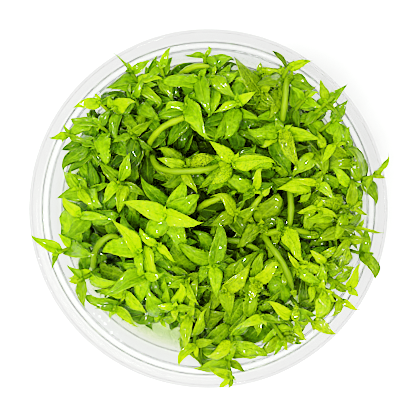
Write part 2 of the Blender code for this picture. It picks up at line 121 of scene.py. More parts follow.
# Each shoot as the photograph shows it: the pixel of its top pair of leaves, how far that is over the rim, how
# many pairs it has, and the pixels of the tips of the leaves that show, from the top pair down, each with how
# many degrees its blade is rolled over. Leaves that don't show are grown by rule.
SHOOTS = (
    (131, 71, 5.5, 3, ((113, 53, 75), (151, 60, 10), (109, 92, 10), (158, 84, 0))),
    (132, 96, 5.0, 4, ((126, 118, 0), (142, 74, 15), (118, 78, 0), (158, 98, 10))),
    (99, 102, 4.0, 3, ((72, 109, 15), (119, 95, 20), (103, 125, 0))),
    (99, 125, 4.0, 4, ((71, 119, 20), (108, 113, 10), (83, 140, 10), (120, 120, 0))),
    (67, 134, 4.5, 3, ((48, 137, 35), (83, 143, 5), (62, 150, 20), (100, 148, 0), (57, 165, 20),
        (98, 168, 10))),
    (131, 133, 5.5, 4, ((155, 112, 30), (112, 143, 30), (153, 150, 20), (114, 127, 5))),
    (160, 66, 3.5, 4, ((171, 48, 10), (151, 74, 10), (181, 99, 5), (142, 88, 0))),
    (205, 56, 1.5, 3, ((184, 53, 30), (218, 64, 0), (190, 72, 0))),
    (199, 76, 5.5, 4, ((213, 118, 10), (184, 84, 10), (178, 78, 0), (226, 66, 10))),
    (186, 104, 4.0, 4, ((217, 141, 15), (166, 112, 0), (200, 92, 0), (176, 134, 0))),
    (213, 74, 4.5, 4, ((238, 98, 0), (205, 92, 0), (232, 64, 10))),
    (238, 101, 6.5, 4, ((212, 113, 15), (256, 92, 20), (222, 141, 50), (243, 134, 45))),
    (262, 92, 3.5, 4, ((234, 57, 45), (278, 108, 5), (283, 82, 10), (247, 78, 0))),
    (289, 67, 6.5, 3, ((272, 51, 25), (313, 61, 15), (283, 92, 10), (306, 82, 0))),
    (306, 98, 4.0, 4, ((322, 106, 0), (289, 84, 0), (295, 127, 15), (318, 84, 0), (318, 138, 0))),
    (328, 101, 4.5, 3, ((321, 79, 15), (337, 114, 15), (316, 112, 0))),
    (284, 130, 6.0, 4, ((299, 169, 20), (274, 118, 15), (321, 140, 25), (263, 144, 0))),
    (337, 143, 5.0, 4, ((321, 163, 0), (346, 124, 10), (366, 143, 20), (318, 133, 10))),
    (376, 176, 5.5, 3, ((388, 153, 50), (367, 190, 40), (348, 160, 0), (356, 178, 0),
        (336, 184, 0), (330, 158, 5))),
    (234, 161, 7.0, 4, ((209, 141, 20), (277, 168, 20), (256, 143, 40), (197, 189, 30))),
    (254, 190, 4.5, 4, ((264, 168, 20), (242, 206, 30), (274, 182, 10), (226, 180, 0))),
    (185, 166, 3.0, 4, ((157, 158, 0), (197, 197, 25), (200, 150, 0), (160, 184, 0))),
    (318, 184, 5.5, 4, ((291, 177, 20), (338, 198, 20), (328, 166, 0), (300, 198, 0))),
    (319, 209, 4.5, 4, ((303, 211, 20), (337, 219, 10), (308, 236, 10), (327, 192, 0), (338, 234, 10))),
    (354, 206, 3.5, 3, ((350, 178, 20), (367, 214, 30), (338, 204, 0), (356, 226, 10))),
    (358, 229, 4.5, 3, ((384, 232, 40), (343, 222, 10), (366, 243, 10), (331, 257, 25))),
    (237, 214, 4.5, 4, ((208, 198, 10), (260, 212, 10), (222, 220, 0), (243, 194, 10))),
    (262, 226, 4.0, 4, ((287, 221, 15), (247, 240, 15), (276, 238, 10), (250, 214, 10))),
    (284, 231, 4.5, 4, ((309, 262, 25), (270, 219, 15), (300, 224, 10), (268, 246, 10))),
    (165, 215, 7.5, 4, ((119, 204, 15), (204, 222, 15), (183, 176, 10), (179, 254, 10),
        (138, 172, 35), (150, 240, 10))),
    (118, 182, 5.5, 4, ((132, 152, 30), (102, 203, 10), (98, 160, 15), (145, 196, 10), (118, 148, 10))),
    (78, 188, 4.0, 4, ((72, 167, 20), (93, 211, 15), (56, 199, 30), (108, 188, 10))),
    (78, 216, 3.5, 4, ((64, 196, 20), (112, 218, 15), (60, 238, 10), (96, 200, 5), (109, 222, 15))),
    (58, 252, 5.5, 3, ((28, 239, 15), (52, 262, 40), (56, 237, 25), (88, 247, 10), (94, 272, 0))),
    (138, 252, 6.0, 4, ((111, 218, 20), (142, 274, 10), (102, 252, 25), (164, 258, 0))),
    (156, 246, 4.5, 4, ((177, 262, 30), (140, 228, 25), (168, 228, 0), (146, 264, 0))),
    (143, 277, 6.0, 4, ((90, 288, 20), (166, 270, 10), (167, 296, 20), (122, 262, 0))),
    (80, 280, 4.0, 3, ((86, 309, 25), (68, 264, 15), (70, 285, 25), (104, 282, 5), (99, 256, 10))),
    (114, 309, 4.0, 3, ((94, 309, 20), (139, 326, 20), (112, 321, 10), (120, 292, 5))),
    (124, 294, 4.5, 4, ((147, 314, 20), (99, 290, 15), (134, 278, 5))),
    (175, 309, 5.5, 4, ((155, 304, 15), (197, 308, 15), (186, 292, 10), (166, 326, 10))),
    (161, 321, 4.0, 3, ((147, 336, 15), (174, 312, 10), (150, 308, 5))),
    (188, 318, 4.5, 3, ((189, 348, 5), (196, 300, 10), (204, 324, 10), (169, 325, 5))),
    (194, 346, 4.0, 3, ((172, 359, 35), (214, 341, 10), (199, 368, 20), (184, 332, 5))),
    (186, 282, 5.0, 4, ((170, 288, 5), (200, 306, 15), (205, 274, 0), (176, 264, 5))),
    (214, 266, 5.5, 4, ((213, 217, 10), (217, 298, 10), (198, 284, 0), (230, 254, 10))),
    (226, 291, 5.5, 4, ((206, 287, 15), (251, 261, 25), (229, 318, 25), (284, 284, 20))),
    (256, 282, 4.0, 4, ((278, 262, 5), (248, 302, 15), (272, 300, 10), (240, 268, 0))),
    (300, 270, 5.0, 4, ((292, 258, 20), (324, 286, 20), (284, 286, 5), (318, 256, 10))),
    (328, 264, 4.0, 4, ((312, 252, 5), (346, 272, 10), (336, 246, 10), (326, 284, 0))),
    (350, 290, 5.0, 3, ((362, 262, 35), (344, 276, 10), (360, 282, 10), (334, 288, 0))),
    (343, 301, 4.5, 3, ((354, 306, 30), (332, 312, 5), (337, 326, 20), (324, 331, 20), (346, 318, 10))),
    (324, 292, 4.5, 3, ((325, 309, 15), (322, 274, 10), (308, 298, 5), (338, 292, 10))),
    (298, 324, 4.5, 3, ((293, 302, 15), (306, 338, 10), (282, 318, 5), (316, 316, 10))),
    (284, 341, 4.5, 3, ((275, 354, 20), (302, 341, 15), (262, 344, 0), (288, 324, 5))),
    (262, 318, 3.5, 3, ((284, 322, 5), (240, 330, 10), (271, 300, 10), (256, 338, 10))),
    (233, 345, 4.5, 3, ((202, 351, 5), (268, 357, 15), (254, 312, 20), (246, 358, 10), (214, 328, 0))),
    (231, 378, 5.5, 3, ((208, 366, 25), (229, 387, 20), (238, 378, 10))),
)

# The space between plants and wall that the photograph shows free, where tweezers go in: two opposite corners.
FREE_SPACE = ((-15.0, -36.8, 30.0), (-9.0, -32.0, 72.0))

# Where a stem stands in the gel: its top's plan place drawn in, and never further out than this.
BASE_SHARE = 0.76
BASE_LIMIT = 33.0
BASE_JITTER = 1.8
BASE_TRIES = 40
UPRIGHT_WITHIN = 26.0
TIP_LEAN_UPRIGHT = 12
TIP_LEAN_AT_RIM = 58
FOOT_PULL, TIP_PULL = 0.4, 0.3

# Sizes, turns and pitches that a leaf tries, in degrees, until it is clear of all that grew before it nearby:
# within a share of its length and a little more.
TURN_TRIES = (0, 11, -11, 22, -22, 33, -33, 44, -44)
PITCH_TRIES = (0, 13, -13, 26, -26, 39)
TURNS_AND_PITCHES = sorted(product(TURN_TRIES, PITCH_TRIES), key=lambda way: abs(way[0]) + abs(way[1]))
LEAF_TRIES = tuple((size, *way) for size in (1.0, 0.86, 0.72, 0.58) for way in TURNS_AND_PITCHES)
NEARBY_SHARE, NEARBY_MORE = 2.2, 4


def cup_profile():
    """The cup's section from the inner floor's middle, up the inside, over the rim and down to the foot."""
    seat_height = CUP_HEIGHT - 1.1
    under_flange = CUP_HEIGHT - WALL
    skirt_bottom = CUP_HEIGHT - 2.8
    return [
        (0, FLOOR_HEIGHT),
        (FLOOR_RADIUS - 4.4, FLOOR_HEIGHT),
        (FLOOR_RADIUS - 1.6, FLOOR_HEIGHT + 0.9),
        (FLOOR_RADIUS, CORNER_HEIGHT),
        (LEDGE_INNER_RADIUS, LEDGE_HEIGHT),
        (LEDGE_OUTER_RADIUS, LEDGE_HEIGHT + 0.8),
        (SEAT_INNER_RADIUS, seat_height - 0.5),
        (FLANGE_INNER_RADIUS - 0.5, seat_height),
        (FLANGE_INNER_RADIUS, CUP_HEIGHT),
        (CUP_RADIUS - 0.6, CUP_HEIGHT),
        (CUP_RADIUS, CUP_HEIGHT - 0.6),
        (CUP_RADIUS, skirt_bottom),
        (CUP_RADIUS - WALL, skirt_bottom),
        (CUP_RADIUS - WALL, under_flange),
        (FLANGE_INNER_RADIUS + WALL, under_flange),
        (FLANGE_INNER_RADIUS + WALL - 0.4, seat_height - WALL),
        (SEAT_INNER_RADIUS + WALL, seat_height - 0.5 - WALL),
        (LEDGE_OUTER_RADIUS + WALL, LEDGE_HEIGHT),
        (LEDGE_INNER_RADIUS + WALL, LEDGE_HEIGHT - WALL),
        (FLOOR_RADIUS + WALL, FLOOR_HEIGHT + 2.9),
        (FLOOR_RADIUS - 1.0, FLOOR_HEIGHT - 0.4),
        (FOOT_RADIUS, 0),
        (FOOT_RADIUS - FOOT_WIDTH, 0),
        (FOOT_RADIUS - FOOT_WIDTH - 0.8, FOOT_RECESS),
        (0, FOOT_RECESS),
    ]


def inner_radius(height):
    """The lower wall's inner radius at a height."""
    share = (height - CORNER_HEIGHT) / (LEDGE_HEIGHT - CORNER_HEIGHT)
    return FLOOR_RADIUS + share * (LEDGE_INNER_RADIUS - FLOOR_RADIUS)


def gel_profile():
    """The gel's section: a flat top that climbs a little at the wall, and the cup's inside less the gap."""
    return [
        (0, GEL_TOP),
        (inner_radius(GEL_TOP) - 2.2, GEL_TOP),
        (inner_radius(GEL_TOP + MENISCUS) - GAP, GEL_TOP + MENISCUS),
        (FLOOR_RADIUS - GAP, CORNER_HEIGHT + 0.1),
        (FLOOR_RADIUS - 1.9, FLOOR_HEIGHT + 0.9 + GAP),
        (FLOOR_RADIUS - 4.6, FLOOR_HEIGHT + GAP),
        (0, FLOOR_HEIGHT + GAP),
    ]


def bezier(points, t):
    """The point at share t of a cubic Bezier curve."""
    a, b, c, d = points
    s = 1 - t
    return a * s**3 + b * (3 * s * s * t) + c * (3 * s * t * t) + d * t**3


def plan_place(x_pixel, y_pixel, rise):
    """The real place, in plan, of a photograph's pixel that shows something that far over the rim."""
    scale = MM_PER_PIXEL * (1 - rise / VIEW_DISTANCE)
    return Vector(((x_pixel - PHOTO_CENTRE[0]) * scale, (PHOTO_CENTRE[1] - y_pixel) * scale, 0))


def stem_line(shoot, luck):
    """The stem's middle line, from its tip down, as points about a millimetre apart."""
    x_pixel, y_pixel, rise = shoot[:3]
    plan = plan_place(x_pixel, y_pixel, rise)
    outward = plan.normalized()
    foot = outward * min(plan.length * BASE_SHARE, BASE_LIMIT)
    foot += Vector((luck.uniform(-1, 1), luck.uniform(-1, 1), 0)) * BASE_JITTER
    foot.z = GEL_TOP + GAP
    tip = plan + UP * (CUP_HEIGHT + rise)
    share = max(0, min(1, (plan.length - UPRIGHT_WITHIN) / (CUP_RADIUS - UPRIGHT_WITHIN)))
    lean = math.radians(TIP_LEAN_UPRIGHT + (TIP_LEAN_AT_RIM - TIP_LEAN_UPRIGHT) * share)
    heading = outward * math.sin(lean) + UP * math.cos(lean)
    length = (tip - foot).length
    curve = (foot, foot + UP * length * FOOT_PULL, tip - heading * length * TIP_PULL, tip)
    steps = round(length)
    return [bezier(curve, 1 - i / steps) for i in range(steps + 1)]


def place_along(line, distance):
    """The point at a distance down the line from its tip, and the line's upward direction there."""
    gone = 0
    for above, below in zip(line, line[1:]):
        step = (above - below).length
        if gone + step >= distance:
            return above.lerp(below, (distance - gone) / step), (above - below).normalized()
        gone += step
    return line[-1], (line[-2] - line[-1]).normalized()


def turned_to(frame, upward):
    """The side directions of a frame, turned the shortest way so that they stand square to a new upward."""
    turn = frame[2].rotation_difference(upward)
    return turn @ frame[0], turn @ frame[1], upward


def first_direction(shoot):
    """The way a shoot's top pair points, in plan: from its second tip to its first."""
    first, second = shoot[4][:2]
    return Vector((first[0] - second[0], second[1] - first[1], 0)).normalized()


def shoot_frames(shoot, line):
    """For each pair of leaves, from the tip down: its place, and its directions across, along and up."""
    points = [place_along(line, distance) for distance in NODE_DISTANCES[: shoot[3]]]
    upward = points[0][1]
    across = first_direction(shoot)
    across = (across - upward * across.dot(upward)).normalized()
    frame = (across, upward.cross(across), upward)
    frames = []
    for place, direction in points:
        frame = turned_to(frame, direction)
        frames.append((place, *frame))
    return frames


def leaf_plan(plant, level, side, luck):
    """How a leaf should grow: its outward and upward directions, its length, pitch and roll."""
    place, across, along, upward = plant["frames"][level]
    outward = (across if level % 2 == 0 else along) * (1 - 2 * side)
    length = LEAF_LENGTHS[level] * luck.uniform(*LENGTH_SPREAD)
    pitch = LEAF_PITCHES[level] + luck.gauss(0, PITCH_SPREAD)
    roll = luck.gauss(0, ROLL_SPREAD)
    shown = plant["tips"][2 * level + side :][:1]
    for x_pixel, y_pixel, roll in shown:
        reach = plan_place(x_pixel, y_pixel, place.z - CUP_HEIGHT) - place
        reach.z = 0
        outward, upward = reach.normalized(), UP
        flatness = LEAF_WIDEST_AT * math.cos(math.radians(pitch))
        flatness += (1 - LEAF_WIDEST_AT) * math.cos(math.radians(pitch - LEAF_BENDS[level]))
        length = (reach.length - STEM_TOP_SIDE / 2) / flatness
    return outward, upward, max(LEAF_SHORTEST, min(LEAF_LONGEST, length)), pitch, roll


def leaf_shape(place, level, plan, turn, pitch_change, size):
    """One leaf: its base, widest place and tip, and the blade's directions across and out of its face."""
    outward, upward, length, pitch, roll = plan
    pitch += pitch_change
    length *= size
    outward = Quaternion(upward, math.radians(turn)) @ outward
    wide = upward.cross(outward).normalized()
    first = Quaternion(wide, -math.radians(pitch)) @ outward
    second = Quaternion(wide, -math.radians(pitch - LEAF_BENDS[level])) @ outward
    middle = Quaternion(wide, -math.radians(pitch - LEAF_BENDS[level] / 2)) @ outward
    wide = Quaternion(middle, math.radians(roll)) @ wide
    base = place + outward * (STEM_TOP_SIDE / 2)
    widest = base + first * (length * LEAF_WIDEST_AT)
    return {
        "base": base,
        "widest": widest,
        "tip": widest + second * (length * (1 - LEAF_WIDEST_AT)),
        "wide": wide,
        "face": middle.cross(wide),
        "half_width": length * LEAF_WIDTH_SHARES[level] / 2,
        "level": level,
    }


def slab_tree(leaf):
    """The space that a leaf needs, a little larger than the leaf, as a tree for finding overlaps."""
    start = leaf["base"].lerp(leaf["widest"], LEAF_ROOT_SHARE)
    thick = LEAF_THICKNESS + 2 * CLEARANCE
    corners = []
    for centre, width in ((start, LEAF_ROOT_WIDTH), (leaf["widest"], leaf["half_width"] * 2)):
        corners += ring_corners(centre, leaf["wide"], leaf["face"], width + 2 * CLEARANCE, thick)
    corners.append(leaf["tip"] + (leaf["tip"] - leaf["widest"]).normalized() * CLEARANCE * 2)
    faces = [(0, 3, 2, 1)]
    for i in range(4):
        j = (i + 1) % 4
        faces += [(i, j, j + 4, i + 4), (i + 4, j + 4, 8)]
    return BVHTree.FromPolygons(corners, faces)


def stem_side(distance, length):
    """The stem's side at a distance from its tip."""
    return STEM_TOP_SIDE + (STEM_BOTTOM_SIDE - STEM_TOP_SIDE) * min(1, distance / length)


def ring_corners(place, across, along, width, depth):
    """The corners of a rectangle, across a stem or a leaf."""
    return [place + across * width / 2 * a + along * depth / 2 * b for a, b in RING_SIGNS]


def stem_rings(line, frames):
    """The stem's square rings from its foot up, two at each pair of leaves."""
    length = sum((a - b).length for a, b in zip(line, line[1:]))
    foot_frame = turned_to(frames[-1][1:], UP)
    rings = [ring_corners(line[-1], foot_frame[0], foot_frame[1], STEM_BOTTOM_SIDE, STEM_BOTTOM_SIDE)]
    for level in reversed(range(len(frames))):
        place, across, along, upward = frames[level]
        side = stem_side(NODE_DISTANCES[level], length)
        for end in (-1, 1):
            rings.append(ring_corners(place + upward * end * NODE_HEIGHT / 2, across, along, side, side))
    return rings


def tube_tree(rings, swell):
    """A stem's rings, swollen a little, as a tree for finding overlaps."""
    points, faces = [], []
    for ring in rings:
        centre = sum(ring, Vector()) / 4
        points += [corner + (corner - centre).normalized() * swell for corner in ring]
    for start in range(0, len(points) - 4, 4):
        for i in range(4):
            j = (i + 1) % 4
            faces.append((start + i, start + j, start + j + 4, start + i + 4))
    return BVHTree.FromPolygons(points, faces)


def cup_tree():
    """The cup's surface as a tree for finding overlaps."""
    profile = cup_profile()
    points, faces = [], []
    for step in range(TURN_STEPS):
        angle = 2 * math.pi * step / TURN_STEPS
        points += [Vector((r * math.cos(angle), r * math.sin(angle), z)) for r, z in profile]
    count = len(profile)
    for step in range(TURN_STEPS):
        after = (step + 1) % TURN_STEPS
        for i in range(count - 1):
            here, there = step * count + i, after * count + i
            faces.append((here, there, there + 1, here + 1))
    return BVHTree.FromPolygons(points, faces)


def free_space_tree():
    """The space that stays free, as a tree for finding overlaps."""
    corners = [Vector(corner) for corner in product(*zip(*FREE_SPACE))]
    faces = [(0, 1, 3, 2), (4, 6, 7, 5), (0, 4, 5, 1), (2, 3, 7, 6), (0, 2, 6, 4), (1, 5, 7, 3)]
    return BVHTree.FromPolygons(corners, faces)


def inside_reach(leaf):
    """Whether a leaf stays within the rim's square, and is over the rim where it is beyond the wall."""
    corners = [leaf["widest"] + leaf["wide"] * leaf["half_width"] * a for a in (-1, 1)] + [leaf["tip"]]
    for point in corners:
        if max(abs(point.x), abs(point.y)) > CUP_RADIUS - GAP or point.z < GEL_TOP + LEAF_OVER_GEL:
            return False
        beyond = Vector((point.x, point.y)).length > SEAT_INNER_RADIUS
        if beyond and point.z < CUP_HEIGHT + LEAF_OVER_RIM:
            return False
    return True


def planted(shoot, plants, luck):
    """A shoot's stem, clear of the stems that stand already, with no leaves yet."""
    for _ in range(BASE_TRIES):
        line = stem_line(shoot, luck)
        frames = shoot_frames(shoot, line)
        rings = stem_rings(line, frames)
        space = tube_tree(rings, CLEARANCE)
        if not any(space.overlap(other["space"]) for other in plants):
            break
    stem = tube_tree(rings, 0)
    return {"frames": frames, "rings": rings, "stem": stem, "space": space, "tips": shoot[4], "leaves": []}


def points_apart(leaf, others):
    """Whether a leaf leaves the stem well away from the others of its pair."""
    way = leaf["widest"] - leaf["base"]
    return all(way.angle(other["widest"] - other["base"]) > math.radians(PAIR_APART) for other in others)


class Neighbours:
    """The spaces that leaves, the cup and the free space take, to find which lie near a place."""

    def __init__(self):
        self.fixed = [cup_tree(), free_space_tree()]
        self.leaves = []

    def near(self, place, reach):
        return [tree for tree, other in self.leaves if (other - place).length < reach] + self.fixed


def clear_leaf(plant, place, level, plan, pair, plants, taken, tries):
    """The first way to grow a leaf that keeps it clear of all nearby, or None; the space it takes goes to taken."""
    near = taken.near(place, NEARBY_SHARE * plan[2] + NEARBY_MORE)
    near += [other["space"] for other in plants if other is not plant] + [plant["stem"]]
    for size, turn, pitch_change in tries:
        leaf = leaf_shape(place, level, plan, turn, pitch_change, size)
        if inside_reach(leaf) and points_apart(leaf, pair):
            tree = slab_tree(leaf)
            if not any(tree.overlap(other) for other in near):
                taken.leaves.append((tree, leaf["widest"]))
                return leaf
    return None


def grow():
    """All shoots and the spaces they take: first the stems, then each shoot's top pair of leaves, then the next."""
    luck = random.Random(SEED)
    plants = []
    for shoot in SHOOTS:
        plants.append(planted(shoot, plants, luck))
    taken = Neighbours()
    for level, plant, side in product(range(len(NODE_DISTANCES)), plants, (0, 1)):
        if level >= len(plant["frames"]):
            continue
        plan = leaf_plan(plant, level, side, luck)
        pair = [leaf for leaf in plant["leaves"] if leaf["level"] == level]
        leaf = clear_leaf(plant, plant["frames"][level][0], level, plan, pair, plants, taken, LEAF_TRIES)
        if leaf:
            plant["leaves"].append(leaf)
    return plants, taken


# What grows besides the solids' leaves: pairs between them, the young leaves round each bud, and low shoots.
FILL_SEED = 11
FILL_DISTANCES = (3.5, 9.4, 16.2, 23.6, 27.6, 31.6, 35.6)
FILL_JITTER = 0.8
FILL_LENGTHS = (8.0, 11.5)
FILL_FIRST_TURN = (25, 65)
FILL_PITCH = 18
FILL_SPREAD = 12
FILL_LOWEST = 4.0
FILL_WIDENING = 1.12
FILL_ROUNDNESS = 0.35
FILL_TRIES = tuple(product((1.0, 0.82, 0.66), (0, 16, -16, 32, -32), (0, 14, -14)))
YOUNG_ABOVE = 0.2
YOUNG_LENGTH = 3.0
YOUNG_LENGTH_SPREAD = (0.85, 1.15)
YOUNG_PITCH = 66
YOUNG_TURN = 90
YOUNG_TURN_SPREAD = 8
YOUNG_SPREAD = 6
YOUNG_WIDENING = 1.45
LOW_SHOOTS = 70
LOW_SHOOT_TRIES = 1500
LOW_SHOOT_RADIUS_PX = 143
LOW_SHOOT_RISE = (-26, -7)
LOW_SHOOT_REACH = 26
LOW_LEAF_PX = 34
SIDE_LEAF_ROLL = 10
STEM_IN_GEL = 4.0

# Stems that lie across others in the photograph: pixels along each, with how far it is over the rim there.
ARCHED_STEMS = (
    ((147, 153, -9), (151, 140, -1.5), (163, 127, 2.0), (180, 119, 2.6), (198, 113, 0.0)),
    ((153, 157, -6), (158, 167, 0.5), (172, 171, 3.6), (190, 171, 4.6), (208, 169, 4.0), (222, 164, 1.0)),
    ((200, 208, -6), (205, 204, -1.0), (217, 199, 1.4), (230, 194, 1.0)),
    ((264, 236, -2), (270, 245, 2.2), (281, 260, 4.0), (289, 277, 3.0), (293, 290, -2.0)),
    ((245, 221, -5), (249, 213, 0.6), (256, 203, 2.6), (263, 194, 1.0)),
    ((214, 240, -12), (224, 240, -8.0), (242, 242, -6.5), (264, 253, -6.0)),
    ((262, 236, -5), (268, 233, 0.0), (285, 230, 3.0), (298, 231, 3.0), (311, 233, -1.0)),
    ((289, 184, -5), (290, 192, 0.5), (291, 208, 2.6), (290, 222, 2.0), (288, 232, -1.0)),
    ((287, 74, 0), (286, 84, 3.4), (285, 100, 4.0), (283, 116, 2.6), (281, 128, -1.0)),
    ((180, 76, -5), (187, 70, -1.0), (198, 66, 1.0), (212, 67, 0.5)),
    ((94, 268, -7), (95, 252, -1.0), (102, 241, 1.2), (112, 236, 1.4), (121, 240, -1.0)),
)
ARCH_SIDE = 1.8
ARCH_FOOT_TRIES = 60
ARCH_FOOT_JITTER = 4.0
LEAF_CROSSED = 0.1

# Where the photograph shows foliage thick over the rim: from and to these degrees clockwise from its right,
# and from and to these pixels out of its middle.
RIM_ARCS = ((-76, -14, 142, 156), (-14, 14, 138, 150), (14, 64, 147, 162), (212, 252, 138, 150))
RIM_SHOOT_EVERY = 7.5
RIM_SHOOT_RISE = (0.5, 4.5)
RIM_SHOOT_PLACE = (0.1, 0.9)
RIM_LEAF_TURN = 0.6
RIM_LEAF_PX = 27

# Water: beads on this share of the leaves, and the drops on the upper wall (pixels, radius in mm).
BEADED = 0.13
BEADS_TOGETHER = (1, 4)
BEAD_RADIUS = (0.10, 0.30)
BEAD_HEIGHT_SHARE = 0.55
WALL_DROPS = (
    (93, 315, 0.35), (98, 318, 0.45), (104, 325, 0.5), (107, 323, 0.3), (111, 333, 0.5), (88, 306, 0.25),
    (116, 335, 0.3), (101, 322, 0.25), (121, 341, 0.35), (84, 299, 0.3),
)
WALL_DROP_HEIGHT_SHARE = 0.5
WALL_DROP_LEAN = 0.4

# The fine leaves: rows and columns of quads for a tall shoot's own leaves, those between them, the young ones,
# and the own leaves of the rim and low shoots.
GRIDS = {"leaves": (20, 8), "fill": (12, 4), "young": (8, 4)}
SIDE_GRID = (14, 6)
BLADE_WIDEST_AT = 0.24
BLADE_ROOT_SHARE = 0.5
BLADE_ROOT_OVERLAP = 0.12
BLADE_EDGE_SHARE = 0.015
BLADE_MIDDLE_THICKNESS = 0.34
BLADE_EDGE_THICKNESS = 0.06
BLADE_TIP_SHARE = 0.45
MIDRIB_DEPTH, MIDRIB_WIDTH = 0.16, 0.16
ARCHING = (-0.2, 0.9)
SIDE_BEND = 0.05
TIP_BEND = 0.8
TWIST, TWIST_ALONG = 14, 34
ROUNDNESS = 0.05
ROUND_TAPER, POINTED_TAPER = (0.5, 0.9), (1.0, 2.1)
WIDTH_SPREAD = (0.96, 1.30)
TEETH, TOOTH_DEPTH = 7, (0, 0.12)
TOOTHED_FROM, TOOTHED_TO = 0.4, 0.95
FOLD, FOLD_TIP_LOSS = (0.10, 0.95), 0.3
FOLD_SOFTNESS, FOLD_DROP, FOLD_NARROWING = 0.03, 0.17, 0.42
EDGE_CURL = (-0.1, 0.5)
WAVE_HEIGHT = (0.02, 0.2)
WAVES_ALONG = (1.0, 2.6)
WAVE_SLANT = 0.22

# Blades that would stand over the bend in the ceiling are pressed down, and never reach past its room.
CEILING_BEND, CEILING_ROOM = 66.0, 4.6

# The fine stems.
STEM_SIDES = 8
STEM_STEP = 0.9
STEM_TOP_RADIUS = 0.45
STEM_BOTTOM_RADIUS = 0.85
STEM_THICK_AFTER, ARCH_THICK_AFTER = 36, 5
STEM_END_SHARE = 0.25
STEM_CORNERS = 0.07
NODE_SWELL, NODE_REACH = 0.22, 0.7
BUD_TOP = 1.6

# A leaf's tone, from 0, dark, to 1, yellow: in the middle of the light, per mm of height, and out from there.
# The rise of tone with height and its fall out from the middle of the light are painted light and shade.
MIDDLE_OF_LIGHT = (-6.0, -8.0)
TONE, PAINTED_SHADE_PER_MM, PAINTED_SHADE_OUTWARD, TONE_SPREAD = 0.66, 0.028, -0.26, 0.15
TONE_FLAT_WITHIN = 0.35
TONE_YOUNG, TONE_WORN = 0.1, -0.1
STEM_TONE, STEM_TONE_SPREAD = 0.55, 0.12
# Where the foliage is darker or brighter: x, y and reach in mm, and the change of tone.
TONE_PATCHES = (
    (-12, 26, 13, -0.20), (-26, 16, 10, -0.16), (2, -6, 9, -0.20), (5.5, 15, 7, 0.16), (27, 8, 10, 0.16),
    (27, -25, 11, 0.16), (-27, -27, 12, -0.06),
)
# The oldest, olive and speckled leaves, and how leaves yellow across the cup, per mm.
OLD_MIDDLE, OLD_REACH, OLD_SHARE = (10.0, -3.0), 13.0, 0.45
YELLOWING, YELLOWING_SLANT = 0.009, -0.6
OLIVE_SPREAD = 0.25
SPOTTED = 0.35

# Colours, as the shaders' own linear values.
LEAF_GREENS = (
    (0, (0.034, 0.086, 0.0)), (0.35, (0.096, 0.222, 0.0)), (0.7, (0.193, 0.440, 0.0)), (1, (0.350, 0.730, 0.0)),
)
OLIVE_TINT = (1.02, 0.80, 1, 1)
SPECKLE_GREEN = (0.030, 0.062, 0.0, 1)
# Pale green for the midrib, and for the painted highlight along the margin.
RIB_AND_EDGE_HIGHLIGHT_GREEN = (0.35, 0.58, 0.01, 1)
THROUGH_TINT = (1.5, 1.35, 0.2, 1)
STEM_GREENS = ((0, (0.055, 0.115, 0.0)), (0.6, (0.135, 0.250, 0.0)), (1, (0.22, 0.37, 0.0)))
GEL_GREENS = ((0.3, (0.34, 0.44, 0.14)), (0.7, (0.46, 0.56, 0.22)))
GEL_SHADE = (0.42, 0.54, 0.22, 1)
# The drops' white: the share of a drop that isn't clear is diffuse white, a painted glint.
WATER_CLEAR_AND_PAINTED_GLINT, WATER_SHADE = (1, 1, 1, 1), (0.97, 0.97, 0.97, 1)
FLOOR_PALE = ((0.3, (0.98, 0.98, 0.98)), (0.7, (0.99, 0.99, 0.99)))
SKY_PALE = ((0.0, (0.62, 0.64, 0.65)), (0.3, (0.62, 0.62, 0.62)), (0.7, (0.9, 0.9, 0.9)))
PLASTIC_SHADE = (0.95, 0.96, 0.95, 1)
# The rim's tints, by share of the cup's radius: clear inside, a paler step, and a greyer flange.
# The paler step is painted light that lifts the dark line its steep faces show.
RIM_TINTS_AND_PAINTED_LIGHT = (
    (0.89, (0.70, 0.74, 0.71)), (0.906, (0.80, 0.81, 0.80)), (0.934, (0.80, 0.81, 0.80)), (0.946, (0.50, 0.50, 0.49)),
)
# The wall's painted reflection of the leaves, by share of the cup's height: green low down, clearer towards the ledge,
# and
# how far they replace the rim's.
WALL_PAINTED_REFLECTIONS = (
    (0.16, (0.52, 0.70, 0.25)), (0.26, (0.25, 0.40, 0.08)), (0.42, (0.31, 0.46, 0.12)),
    (0.58, (0.44, 0.56, 0.25)), (0.72, (0.58, 0.66, 0.46)),
)
PAINTED_REFLECTION_REACHES = ((0.05, (0, 0, 0)), (0.14, (1, 1, 1)), (0.72, (1, 1, 1)), (0.90, (0, 0, 0)))

# How much each mark in the tissue changes a leaf's tone and the height of its skin.
TONE_MARKS = {"Blotches": 0.22, "Puckers": 0.36, "Veins": 0.05}
TONE_LOWERED = -0.29
SKIN_MARKS = {"Veins": -0.14, "Midrib": -0.6, "Puckers": 0.8, "Speckles": 0.12}
SPECKLE_DEPTH = 0.95
LIGHT_THROUGH = 0.25

# Lamps: name, place in metres, width in metres, watts, and whether it only gives glints.
LAMPS = (
    ("overhead", (0.0, 0.0, 1.1), 1.1, 4.3, False),
    ("key", (-0.14, -0.13, 1.1), 0.30, 7.0, False),
    ("gloss_right", (0.42, 0.05, 0.85), 0.13, 3.4, True),
    ("gloss_left", (-0.5, -0.2, 0.75), 0.13, 3.4, True),
    ("gloss_near", (0.1, -0.55, 0.75), 0.13, 3.4, True),
    ("gloss_far", (-0.14, 0.40, 0.9), 0.15, 4.6, True),
)
SKY_STRENGTH = 0.6
# How much the turned forms' corners are rounded, in mm, and the steps that they are turned in.
CUP_ROUNDING, CUP_STEPS = 0.3, 240
GEL_ROUNDING, GEL_STEPS = 0.5, 96
FLOOR_HALF_WIDTH = 2.5
FLOOR_SINK = 0.0001

